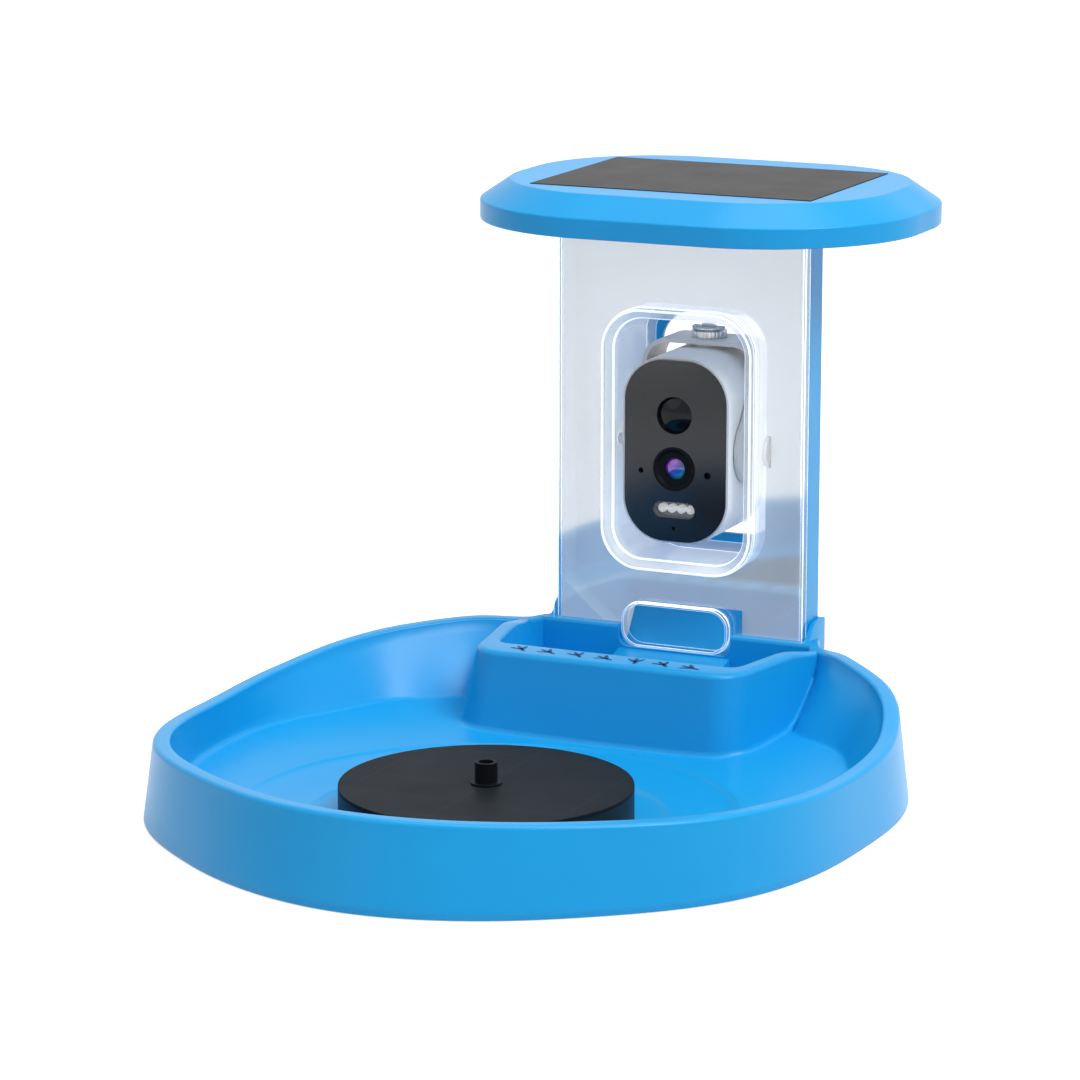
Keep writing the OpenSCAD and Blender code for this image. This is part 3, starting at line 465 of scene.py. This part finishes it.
def domedFace(nodeName, body, mat):  # keep the dome's shading even between its holes
    mesh = roundedCopy(nodeName, body, mat, 0).data
    front = [f for f in mesh.polygons if f.normal.y < -softSet["facing"]]
    points = np.array([mesh.vertices[v].co for v in sorted({v for f in front for v in f.vertices})])
    system = np.column_stack([2 * points, np.ones(len(points))])  # the sphere that fits the dome best
    centre = Vector(np.linalg.lstsq(system, (points ** 2).sum(1), rcond=None)[0][:3])
    normals = [c.vector.copy() for c in mesh.corner_normals]
    for face in front:
        for corner in face.loop_indices:
            normals[corner] = (mesh.vertices[mesh.loops[corner].vertex_index].co - centre).normalized()
    mesh.normals_split_custom_set(normals)


def ringMesh(rings, closed, capped=False):
    count = len(rings[0])
    points = [tuple(p) for ring in rings for p in ring]
    faces = []
    for j in range(len(rings) if closed else len(rings) - 1):
        k = (j + 1) % len(rings)
        for i in range(count):
            e = (i + 1) % count
            faces.append((j * count + i, j * count + e, k * count + e, k * count + i))
    if capped:
        base = (len(rings) - 1) * count
        faces.append(tuple(range(count - 1, -1, -1)))
        faces.append(tuple(base + i for i in range(count)))
    return points, faces


def extruded(outline, axis, low, high):
    n = len(outline)
    points = []
    for v in (low, high):
        for p, q in outline:
            points.append((v, p, q) if axis == "x" else (p, v, q))
    faces = [tuple(range(n - 1, -1, -1)), tuple(range(n, 2 * n))]
    faces += [(i, (i + 1) % n, n + (i + 1) % n, n + i) for i in range(n)]
    return points, faces


def joinMeshes(name, parts):
    points, faces = [], []
    for partPoints, partFaces in parts:
        start = len(points)
        points += [tuple(p) for p in partPoints]
        faces += [tuple(start + i for i in f) for f in partFaces]
    mesh = bpy.data.meshes.new(name)
    mesh.from_pydata(points, [], faces)
    mesh.update()
    return mesh


def fromParts(name, part):
    bm = bmesh.new()
    bm.from_mesh(joinMeshes(name, [part]))
    bmesh.ops.remove_doubles(bm, verts=bm.verts, dist=softSet["partWeld"])
    bmesh.ops.recalc_face_normals(bm, faces=bm.faces)
    return bm


def softened(part, edge, sharpAngle=40):
    bm = fromParts("softEdges", part)
    bevelCrisp(bm, sharpAngle, edge, 2)
    index = {v: i for i, v in enumerate(bm.verts)}
    soft = [v.co[:] for v in bm.verts], [tuple(index[v] for v in f.verts) for f in bm.faces]
    bm.free()
    return soft


def throughPoints(angles, values, a):  # smooth curve through the listed values
    ks, vs = np.array(angles, float), np.array(values, float)
    slopes = np.zeros(len(ks))
    slopes[1:-1] = (vs[2:] - vs[:-2]) / (ks[2:] - ks[:-2])
    i = np.clip(np.searchsorted(ks, a, side="right") - 1, 0, len(ks) - 2)
    w = ks[i + 1] - ks[i]
    t = (a - ks[i]) / w
    return (vs[i] * (2 * t**3 - 3 * t**2 + 1) + slopes[i] * w * (t**3 - 2 * t**2 + t)
            + vs[i + 1] * (3 * t**2 - 2 * t**3) + slopes[i + 1] * w * (t**3 - t**2))


def between(first, last, steps):
    return [first + (last - first) * k / steps for k in range(1, steps)]


def quarterTurn(steps):
    return [math.radians(90 * k / steps) for k in range(steps + 1)]


# bowl, in millimetres from the fountain's centre, with angles from the front
basinSet = {
    "planY": 40, "low": 0.5, "wall": 2.5, "rimWidth": 8, "rimDepth": 5.5,
    "rounding": 2.2, "innerRounding": 1.5, "foot": ((-0.25, 0), (-0.05, 0.4)), "smoothAngle": 40,
    "flareAngles": (0, 24, 42, 62, 88, 115, 135, 152, 180),
    "flares": (8, 7.5, 5.6, 4.2, 3.6, 4.6, 3.0, 1.6, 1.6),
    "planAngles": (0, 32, 56, 88, 111, 130, 143, 152, 156, 159, 161, 163.5, 169, 180),
    "planRadii": (171, 164.4, 165.6, 159, 165.5, 173.2, 176, 182.5, 186.5, 195, 203.5, 207, 204.5, 201.5),
    "heightAngles": (0, 30, 60, 88, 108, 124, 136, 147, 157, 180),
    "heights": (39.5, 37.8, 35.6, 32.6, 34.9, 40.2, 43.6, 44.8, 41.8, 41.8),
    "insetAngles": (0, 60, 80, 94, 105, 118, 131, 145, 150, 156, 180),
    "insets": (14, 12, 11, 12.8, 16.6, 23.5, 26, 33, 28, 10, 10),
    "floorFillet": ((-1.6, 2.2), (-1.0, 1.35), (-0.35, 0.7), (0.4, 0.3), (1.3, 0.08), (2.6, 0.0)),
    "floorEdge": 13, "floorRing": 8.2, "floorRun": 39, "ringR": 113, "stepOuter": 111, "stepInner": 80,
    "outerDrop": ((-0.5, 8.18), (0, 8.0), (0.9, 7.45), (2.2, 6.95), (4.5, 6.45), (8, 6.1),
                  (13, 5.8), (20, 5.55)),  # way in from the step and height
    "innerDrop": ((-4, 5.45), (-0.6, 5.42), (0, 5.25), (0.9, 4.8), (2.2, 4.45), (4.5, 4.15),
                  (8, 3.95), (14, 3.8)),
    "innerUnder": ((3, 1.3), (-2, 2.9)), "outerUnder": ((8, 3.8), (2, 5.7)),
    "edgeUnder": ((2.5, -2.5), (-3.2, -0.6)), "rimUnder": (5.8, 2.4),
    "floorMid": 3.8, "midRadii": (40, 2), "stations": 288, "skirtSteps": 8, "turnSteps": 6, "slopeSteps": 6,
}


def rimRadius(a):
    return throughPoints(basinSet["planAngles"], basinSet["planRadii"], np.abs(a))


def bowlMesh(s):
    a = np.linspace(-180, 180, s["stations"], endpoint=False)
    rim = rimRadius(a)
    high = throughPoints(s["heightAngles"], s["heights"], np.abs(a))
    inset = throughPoints(s["insetAngles"], s["insets"], np.abs(a))
    flare = throughPoints(s["flareAngles"], s["flares"], np.abs(a))
    sinA, cosA = np.sin(np.radians(a)), np.cos(np.radians(a))

    def ring(r, z, y0=s["planY"]):
        return np.stack([r * sinA, y0 - r * cosA, np.broadcast_to(z, a.shape)], 1)

    def rimLine(d, dz):  # d inside the rim's outline and dz above its top
        return ring(rim - d, high + dz)

    def floorLine(d, dz):  # d inside the wall's foot and dz above the floor
        p = ring(rim - inset - d, 0.0)
        rise = np.clip((np.hypot(p[:, 0], p[:, 1]) - s["ringR"]) / s["floorRun"], 0, 1)
        p[:, 2] = s["floorRing"] + (s["floorEdge"] - s["floorRing"]) * rise + dz
        return p

    def level(r, z):  # round about the fountain
        return ring(r, z, 0.0)

    low, wall, turn, innerTurn = s["low"], s["wall"], s["rounding"], s["innerRounding"]
    rings = [ring(rim + flare + d, low + dz) for d, dz in s["foot"]]
    for k in range(1, s["skirtSteps"]):
        t = k / s["skirtSteps"]
        rings.append(ring(rim + flare * (1 - t), low + (high - turn - low) * t))
    for q in quarterTurn(s["turnSteps"]):  # outer rounding of the rim
        rings.append(rimLine(turn * (1 - math.cos(q)), -turn * (1 - math.sin(q))))
    for q in quarterTurn(s["turnSteps"]):  # inner rounding
        rings.append(rimLine(s["rimWidth"] - innerTurn * (1 - math.sin(q)), -innerTurn * (1 - math.cos(q))))
    fillet = [floorLine(d, dz) for d, dz in s["floorFillet"]]
    rings += between(rings[-1], fillet[0], s["slopeSteps"]) + fillet  # sloping wall and its foot
    floorEnd = level(s["ringR"], s["floorRing"])
    rings += between(rings[-1], floorEnd, s["slopeSteps"]) + [floorEnd]
    outer, inner, mid = s["stepOuter"], s["stepInner"], s["floorMid"]
    rings += [level(outer - d, z) for d, z in s["outerDrop"]]
    rings += [level(inner - d, z) for d, z in s["innerDrop"]]
    rings += [level(r, mid) for r in s["midRadii"]]
    rings.append(level(s["midRadii"][-1], mid - wall))  # the underside, back to the skirt
    rings += [level(inner - d, z) for d, z in s["innerUnder"]]
    rings += [level(outer - d, z) for d, z in s["outerUnder"]]
    rings.append(level(s["ringR"], s["floorRing"] - wall))
    rings += [floorLine(d, dz) for d, dz in s["edgeUnder"]]
    rings += [rimLine(d, -s["rimDepth"]) for d in s["rimUnder"]]
    rings.append(ring(rim + flare - wall, low))
    return ringMesh(rings, True)


# seed trough, in the bowl's millimetres
troughSet = {
    "front": 124, "depth": 15.5, "half": 63.4, "halfBack": 80, "side": 3.4, "sideBack": 5.5, "wall": 2.5,
    "outerR": 15, "innerR": 8, "cornerShare": 3, "top": 46.5, "backTop": 42, "dipFrom": 172, "dipRun": 32,
    "floor": 24, "low": 6, "lean": 9, "shoulder": 2.4, "innerLean": 4,
    "outerRounding": 2.6, "innerRounding": 1.6, "floorRounding": 3,
    "back": 212.65, "pastBack": 4, "skinPast": 1.2, "skinDrop": 3.5, "floorPast": 0.2, "floorDraft": 1.5,
    "arc": 20, "sideSteps": 12, "wallSteps": 5, "outerSteps": 6, "innerSteps": 5,
    "keepIn": 2.2, "keepStep": 0.996, "keepTimes": 80,
}
notchSet = {"half": 29.15, "low": 31.7, "radius": 5, "top": 60, "before": 7, "behind": 9, "steps": 8}
beadSet = {"radius": 2.6, "step": 5, "points": 7, "sink": 0.8, "headroom": 2, "halvings": 24, "above": 200}


def troughPlan(yf, yb, wf, wb, r, s):  # half widths wf at the front and wb at the back
    d = math.atan((wb - wf) / (yb - yf))
    cx, cy = wf + r * math.tan(d) - r / math.cos(d), yf + r
    left, right = [], []
    for k in range(s["arc"] + 1):
        sweep = (math.pi / 2 - d) * k / s["arc"]
        for path, middle, q in ((left, -cx, math.pi + d + sweep), (right, cx, 1.5 * math.pi + sweep)):
            path.append(np.array((middle + r * math.cos(q), cy + r * math.sin(q))))
    backLeft, backRight = np.array((-wb, yb)), np.array((wb, yb))
    return np.array([backLeft] + between(backLeft, left[0], s["sideSteps"]) + left + right
                    + between(right[-1], backRight, s["sideSteps"]) + [backRight])


def troughSections(s):
    back, wall, floor = s["back"], s["wall"], s["floor"]
    outerTurn, innerTurn, floorTurn = s["outerRounding"], s["innerRounding"], s["floorRounding"]

    def ledge(y):  # the ledge dips towards the tower
        c = np.clip((y - s["dipFrom"]) / s["dipRun"], 0, 1)
        return s["top"] + (s["backTop"] - s["top"]) * c * c * (3 - 2 * c)

    def outer(o, yb):
        return troughPlan(s["front"] - o, yb, s["half"] + o, s["halfBack"] + o,
                          s["outerR"] + o / s["cornerShare"], s)

    def inner(o, yb):
        return troughPlan(s["front"] + s["depth"] - o, yb, s["half"] - s["side"] + o,
                          s["halfBack"] - s["sideBack"] + o, s["innerR"] + o / s["cornerShare"], s)

    def follow(plan, dz):
        return np.column_stack([plan, ledge(plan[:, 1]) + dz])

    def flat(plan, z):
        return np.column_stack([plan, np.full(len(plan), z)])

    rings = [flat(inner(-s["floorDraft"], back + s["floorPast"]), floor - wall),  # hidden skin
             follow(inner(wall, back + s["floorPast"]), -wall),
             follow(outer(s["shoulder"] - wall, back + s["skinPast"]), -s["skinDrop"]),
             flat(outer(s["lean"] - wall, back + s["skinPast"]), s["low"]),
             flat(outer(s["lean"], back + s["pastBack"]), s["low"])]
    footRow = len(rings) - 1
    shoulder = follow(outer(s["shoulder"], back + s["pastBack"]), -outerTurn)
    rings += between(rings[-1], shoulder, s["wallSteps"])
    shoulderRow = len(rings)
    for q in quarterTurn(s["outerSteps"]):  # outer rounding of the ledge
        across = s["shoulder"] - outerTurn * (1 - math.cos(q))
        rings.append(follow(outer(across, back + s["pastBack"]), -outerTurn * (1 - math.sin(q))))
    for q in quarterTurn(s["innerSteps"]):  # inner rounding
        plan = inner(innerTurn * (1 - math.sin(q)), back - wall + s["skinPast"] * (1 - math.sin(q)))
        rings.append(follow(plan, -innerTurn * (1 - math.cos(q))))
    foot = flat(inner(-s["innerLean"], back - wall), floor + floorTurn)
    rings += between(rings[-1], foot, s["wallSteps"])
    for q in quarterTurn(s["innerSteps"]):  # fillet to the trough's floor
        plan = inner(-s["innerLean"] - floorTurn * (1 - math.cos(q)), back - wall)
        rings.append(flat(plan, floor + floorTurn * (1 - math.sin(q))))
    for ring in rings:  # keep inside the basin's outline
        for _ in range(s["keepTimes"]):
            dx, dy = ring[:, 0], ring[:, 1] - basinSet["planY"]
            outside = np.hypot(dx, dy) > rimRadius(np.degrees(np.arctan2(dx, -dy))) - s["keepIn"]
            ring[outside, 0] *= s["keepStep"]
    return rings, footRow, shoulderRow


def filletBead(sections, bowl, s):  # round the fold between the trough's outer wall and the bowl
    rings, footRow, shoulderRow = sections
    foot, shoulder = [], []
    for i in range(len(rings[0]) - 1):
        span = np.linalg.norm(rings[footRow][i + 1] - rings[footRow][i])
        steps = max(1, int(span / s["step"]))
        for k in range(steps):
            for row, path in ((footRow, foot), (shoulderRow, shoulder)):
                path.append(rings[row][i] + (rings[row][i + 1] - rings[row][i]) * k / steps)
    tree = BVHTree.FromPolygons([Vector(v) for v in bowl[0]], bowl[1])

    def ground(point):
        hit = tree.ray_cast(Vector((point[0], point[1], s["above"])), Vector((0, 0, -1)))[0]
        return hit.z if hit else 0.0

    radius, beads = s["radius"], []
    for i in range(1, len(foot) - 1):
        low, rise = foot[i], shoulder[i] - foot[i]
        a, b = 0.0, 1.0
        for _ in range(s["halvings"]):  # find where the wall leaves the bowl
            mid = (a + b) / 2
            a, b = (mid, b) if (low + rise * mid)[2] < ground(low + rise * mid) else (a, mid)
        if a + (radius + s["headroom"]) / rise[2] > 1:
            continue
        fold = low + rise * a
        along = foot[i + 1] - foot[i - 1]
        away = np.array([along[1], -along[0], 0]) / np.hypot(along[0], along[1])
        up = low + rise * (a + radius / rise[2])
        out = fold + away * radius
        out[2] = ground(out)
        curve = [up * (1 - t) ** 2 + fold * 2 * t * (1 - t) + out * t ** 2
                 for t in np.linspace(0, 1, s["points"])]
        beads.append(np.array(curve + [fold - away * s["sink"] - np.array([0, 0, s["sink"]])]))
    return ringMesh(beads, False, capped=True)


def notched(part, back, s):  # cut the trough's back wall for the outlet's rim
    half, low, r = s["half"], s["low"], s["radius"]
    turns = quarterTurn(s["steps"])
    outline = [(-half, s["top"])] + [(-half + r - r * math.cos(q), low + r - r * math.sin(q)) for q in turns]
    outline += [(half - r + r * math.sin(q), low + r - r * math.cos(q)) for q in turns] + [(half, s["top"])]
    slab = extruded(outline, "y", back - s["before"], back + s["behind"])
    objects = []
    for name, shape in (("troughBody", part), ("notchCutter", slab)):
        bm = fromParts(name, shape)
        mesh = bpy.data.meshes.new(name)
        bm.to_mesh(mesh)
        bm.free()
        objects.append(bpy.data.objects.new(name, mesh))
        scene.collection.objects.link(objects[-1])
    body, cutter = objects
    cut = body.modifiers.new("notch", "BOOLEAN")
    cut.operation = "DIFFERENCE"
    cut.solver = "EXACT"
    cut.object = cutter
    mesh = evaluatedMesh(body)
    for made in objects:
        bpy.data.objects.remove(made)
    return [v.co[:] for v in mesh.vertices], [tuple(f.vertices) for f in mesh.polygons]


# tower socket behind the trough, in the bowl's millimetres
socketSet = {
    "half": 64.75, "front": 212.65, "back": 233.75, "wall": 2.5, "backWall": 2.9, "low": 0.5, "top": 50,
    "lap": 2.1, "chamfer": 0.6, "sideEdge": 1.1, "innerEdge": 0.7,
    "swoop": ((14, 0), (11.5, 0.2), (9.5, 0.9), (8, 2.0), (6.6, 3.8), (5.2, 5.6), (3.6, 6.8), (1.6, 7.5)),
    "swoopDrop": 8.0, "padLow": 17, "padTop": 20,
    "rampHalf": 28.95, "rampLow": 23, "rampTop": 31.6, "rampFoot": 25.5, "rampRun": 26,
}


def socketParts(s):
    half, front, back, low, top = s["half"], s["front"], s["back"], s["low"], s["top"]
    rear = back + s["backWall"]
    side = [(front - s["lap"], low), (rear, low), (rear, top - s["chamfer"]), (rear - s["chamfer"], top)]
    side += [(front + run, top - drop) for run, drop in s["swoop"]]
    side.append((front - s["lap"], top - s["swoopDrop"]))
    backWall = [(-half, low), (half, low), (half, top), (-half, top)]
    pad = [(front, s["padLow"]), (back, s["padLow"]), (back, s["padTop"]), (front, s["padTop"])]
    ramp = [(front, s["rampLow"]), (front, s["rampTop"]),
            (front - s["rampRun"], s["rampFoot"]), (front - s["rampRun"], s["rampLow"])]
    return [softened(extruded(side, "x", half, half + s["wall"]), s["sideEdge"]),
            softened(extruded(side, "x", -half - s["wall"], -half), s["sideEdge"]),
            softened(extruded(backWall, "y", back, rear), s["innerEdge"]),
            softened(extruded(pad, "x", -half, half), s["innerEdge"]),
            softened(extruded(ramp, "x", -s["rampHalf"], s["rampHalf"]), s["innerEdge"])]


def makeBasin():
    bowl, sections = bowlMesh(basinSet), troughSections(troughSet)
    trough = notched(ringMesh(sections[0], False, capped=True), troughSet["back"], notchSet)
    bead = filletBead(sections, bowl, beadSet)
    mesh = joinMeshes("basinShell", [bowl, trough, bead] + socketParts(socketSet))
    mesh.transform(Matrix.Translation((0, -midY * mm, 0)) @ Matrix.Scale(mm, 4))
    piece = newPiece("basinShell", mesh, "base", bluePlastic, basinSet["smoothAngle"])
    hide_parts("basin")


makeBasin()
print("basin made")


# bird tracks, thin marks along the ledge that Geometry Nodes repeat, in a darker blue that is painted shade
# for the moulded prints
trackSet = {
    "pitch": 14.4, "y": 130.2, "z": 46.42, "toe": 7.0, "width": 1.8, "thick": 0.16, "smoothAngle": 30,
    "toes": ((0, 1.0), (38, 0.95), (-38, 0.95), (180, 0.55)),  # turn and share of the full length
    "toeShape": ((-0.1, 0.35), (0.35, 0.55), (0.8, 0.42), (1.0, 0.06)),
    "turns": (130, 150, 128, 152, 105, 132, 160),
}


def trackMesh(s):
    bm = bmesh.new()
    for turn, share in s["toes"]:
        q = math.radians(turn)
        along, across = Vector((math.cos(q), math.sin(q), 0)), Vector((-math.sin(q), math.cos(q), 0))
        outline = [(t * s["toe"] * share, wide * s["width"]) for t, wide in s["toeShape"]]
        ring = [along * a + across * b for a, b in outline]
        ring += [along * a - across * b for a, b in reversed(outline)]
        low = [bm.verts.new(p * mm) for p in ring]
        high = [bm.verts.new(p * mm + Vector((0, 0, s["thick"] * mm))) for p in ring]
        n = len(ring)
        bm.faces.new(high[::-1])
        bm.faces.new(low)
        for i in range(n):
            bm.faces.new((low[i], high[i], high[(i + 1) % n], low[(i + 1) % n]))
    bmesh.ops.recalc_face_normals(bm, faces=bm.faces)
    mesh = bpy.data.meshes.new("birdTrack")
    bm.to_mesh(mesh)
    bm.free()
    return mesh


def trackSpots(s):
    count = len(s["turns"])
    spots = bpy.data.meshes.new("trackSpots")
    spots.from_pydata([((k - (count - 1) / 2) * s["pitch"] * mm, (s["y"] - midY) * mm, s["z"] * mm)
                       for k in range(count)], [], [])
    turns = spots.attributes.new("turn", "FLOAT", "POINT")
    turns.data.foreach_set("value", [math.radians(t) for t in s["turns"]])
    return spots


def makeTracks(s, mat):
    track = bpy.data.objects.new("birdTrack", trackMesh(s))
    holder = bpy.data.objects.new("trackSpots", trackSpots(s))
    for made in (track, holder):
        scene.collection.objects.link(made)
    tree = bpy.data.node_groups.new("trackRow", "GeometryNodeTree")
    tree.interface.new_socket("Geometry", in_out="INPUT", socket_type="NodeSocketGeometry")
    inputs = {
        "Track Size": ("NodeSocketFloat", 1.0), "Track": ("NodeSocketObject", track),
        "Finish": ("NodeSocketMaterial", mat),
    }
    values = {}
    for label, (kind, value) in inputs.items():
        values[tree.interface.new_socket(label, in_out="INPUT", socket_type=kind).identifier] = value
    tree.interface.new_socket("Geometry", in_out="OUTPUT", socket_type="NodeSocketGeometry")
    entry = tree.nodes.new("NodeGroupInput")
    out = tree.nodes.new("NodeGroupOutput")
    info = tree.nodes.new("GeometryNodeObjectInfo")
    tree.links.new(entry.outputs["Track"], info.inputs["Object"])
    angle = tree.nodes.new("GeometryNodeInputNamedAttribute")
    angle.data_type = "FLOAT"
    angle.inputs["Name"].default_value = "turn"
    turn = tree.nodes.new("ShaderNodeCombineXYZ")
    tree.links.new(angle.outputs["Attribute"], turn.inputs["Z"])
    place = tree.nodes.new("GeometryNodeInstanceOnPoints")
    tree.links.new(entry.outputs["Geometry"], place.inputs["Points"])
    tree.links.new(info.outputs["Geometry"], place.inputs["Instance"])
    tree.links.new(turn.outputs[0], place.inputs["Rotation"])
    tree.links.new(entry.outputs["Track Size"], place.inputs["Scale"])
    real = tree.nodes.new("GeometryNodeRealizeInstances")
    tree.links.new(place.outputs[0], real.inputs[0])
    coat = tree.nodes.new("GeometryNodeSetMaterial")
    tree.links.new(real.outputs[0], coat.inputs["Geometry"])
    tree.links.new(entry.outputs["Finish"], coat.inputs["Material"])
    tree.links.new(coat.outputs[0], out.inputs[0])
    row = holder.modifiers.new("row", "NODES")
    row.node_group = tree
    for identifier, value in values.items():
        row[identifier] = value
    solid = evaluatedMesh(holder)
    holder.modifiers.remove(row)
    for made in (track, holder):
        bpy.data.objects.remove(made)
    newPiece("birdTracks", solid, "base", mat, s["smoothAngle"])


makeTracks(trackSet, trackPaintedShade)
print("bird tracks made")


# camera sleeve, in millimetres behind its front
sleeveSet = {
    "edge": 0.45, "lipDepth": 4, "landDepth": 6, "near": 0.4,
    "facing": 0.85, "sideways": 0.5, "outsideGlowAndOpacity": 0.5,
}


def makeSleeve(s):
    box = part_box("camera_tunnel")
    front, middle = box[0].y, (box[0].z + box[1].z) / 2
    landEnd = front + s["landDepth"] * mm

    def onLip(e):  # where the mouth's slope meets the bore
        return all(abs(v.co.y - front - s["lipDepth"] * mm) < s["near"] * mm for v in e.verts)

    def mark(face):  # painted glow and more opacity on the land at the mouth, a lesser share of both on the outside
        c, n = face.calc_center_median(), face.normal
        if n.y < -s["facing"] and c.y < front + s["near"] * mm:
            return 1.0
        outside = abs(n.y) < s["sideways"] and n.x * c.x + n.z * (c.z - middle) > 0
        return s["outsideGlowAndOpacity"] if outside and c.y > landEnd else 0.0

    # the lip's wide bevel and all rims get the full painted glow
    roundedCopy("camera_tunnel", "tower", milkyPlastic, s["edge"],
                wide=onLip, marks=mark, split=landEnd)


# carried-over solids, with their edges softened by the given millimetres
roundedCopy("roof_cover", "roof", bluePlastic, 0.9, 3, 15)
roundedCopy("rear_housing", "tower", bluePlastic, 0.5)
roundedCopy("seed_chute", "tower", bluePlastic, 0.4)
roundedCopy("rear_hood", "tower", bluePlastic, 0.5)
roundedCopy("hopper_window", "tower", clearPlastic, 0.4)
makeSleeve(sleeveSet)
roundedCopy("hopper_liner", "tower", palePaintedGlowPlastic, 0.3, 1)
roundedCopy("camera_shell", "camera", shellWhite, 0.5)
domedFace("camera_face", "camera", faceBlack)
roundedCopy("camera_back", "camera", yokeGrey, 0.4)
roundedCopy("yoke", "camera", yokeGrey, 0.3)
roundedCopy("fountain_float", "fountain", floatFoam, 0.5)
roundedCopy("fountain_cells", "fountain", discCells, 0.35)
roundedCopy("fountain_nozzle", "fountain", softBlack, 0.3)
roundedCopy("lens_ring", "camera", softBlack, 0.2)
roundedCopy("pivot_pins", "camera", turnedSteel, 0.3)
roundedCopy("camera_screw", "camera_screw", turnedSteel, 0.1, 1)
roundedCopy("solar_glass", "roof", roofCells, 0.25)

plainFinishes = {
    "rubber_feet": footRubber, "pole_insert": turnedBrass, "fountain_intake": softBlack,
    "fountain_impeller": shellWhite, "fountain_axle": turnedSteel, "hood_screws": turnedSteel,
    "roof_hinge_pin": turnedSteel, "solar_backing": boardWhite, "junction_box": softBlack,
    "cable_gland": footRubber, "roof_gasket": footRubber, "screw_ring": turnedSteel,
    "camera_insert": turnedBrass, "pir_window": pirDark, "lens_barrel": softBlack,
    "lens_glass": lensCoatAndPaintedReflection, "lamp_window": lampClear, "lamps": lampWhite, "pir_sensor": turnedSteel,
    "light_sensor": softBlack, "front_board": boardGrey, "camera_board": boardGreen,
    "battery_cells": cellWrap, "power_button": footRubber, "usb_flap": footRubber,
}
for nodeName, mat in plainFinishes.items():
    solid = nodes[nodeName]
    if not solid.material_slots:
        solid.data.materials.append(mat)
    for place in solid.material_slots:
        place.link = "OBJECT"
        place.material = mat
print("solids dressed")
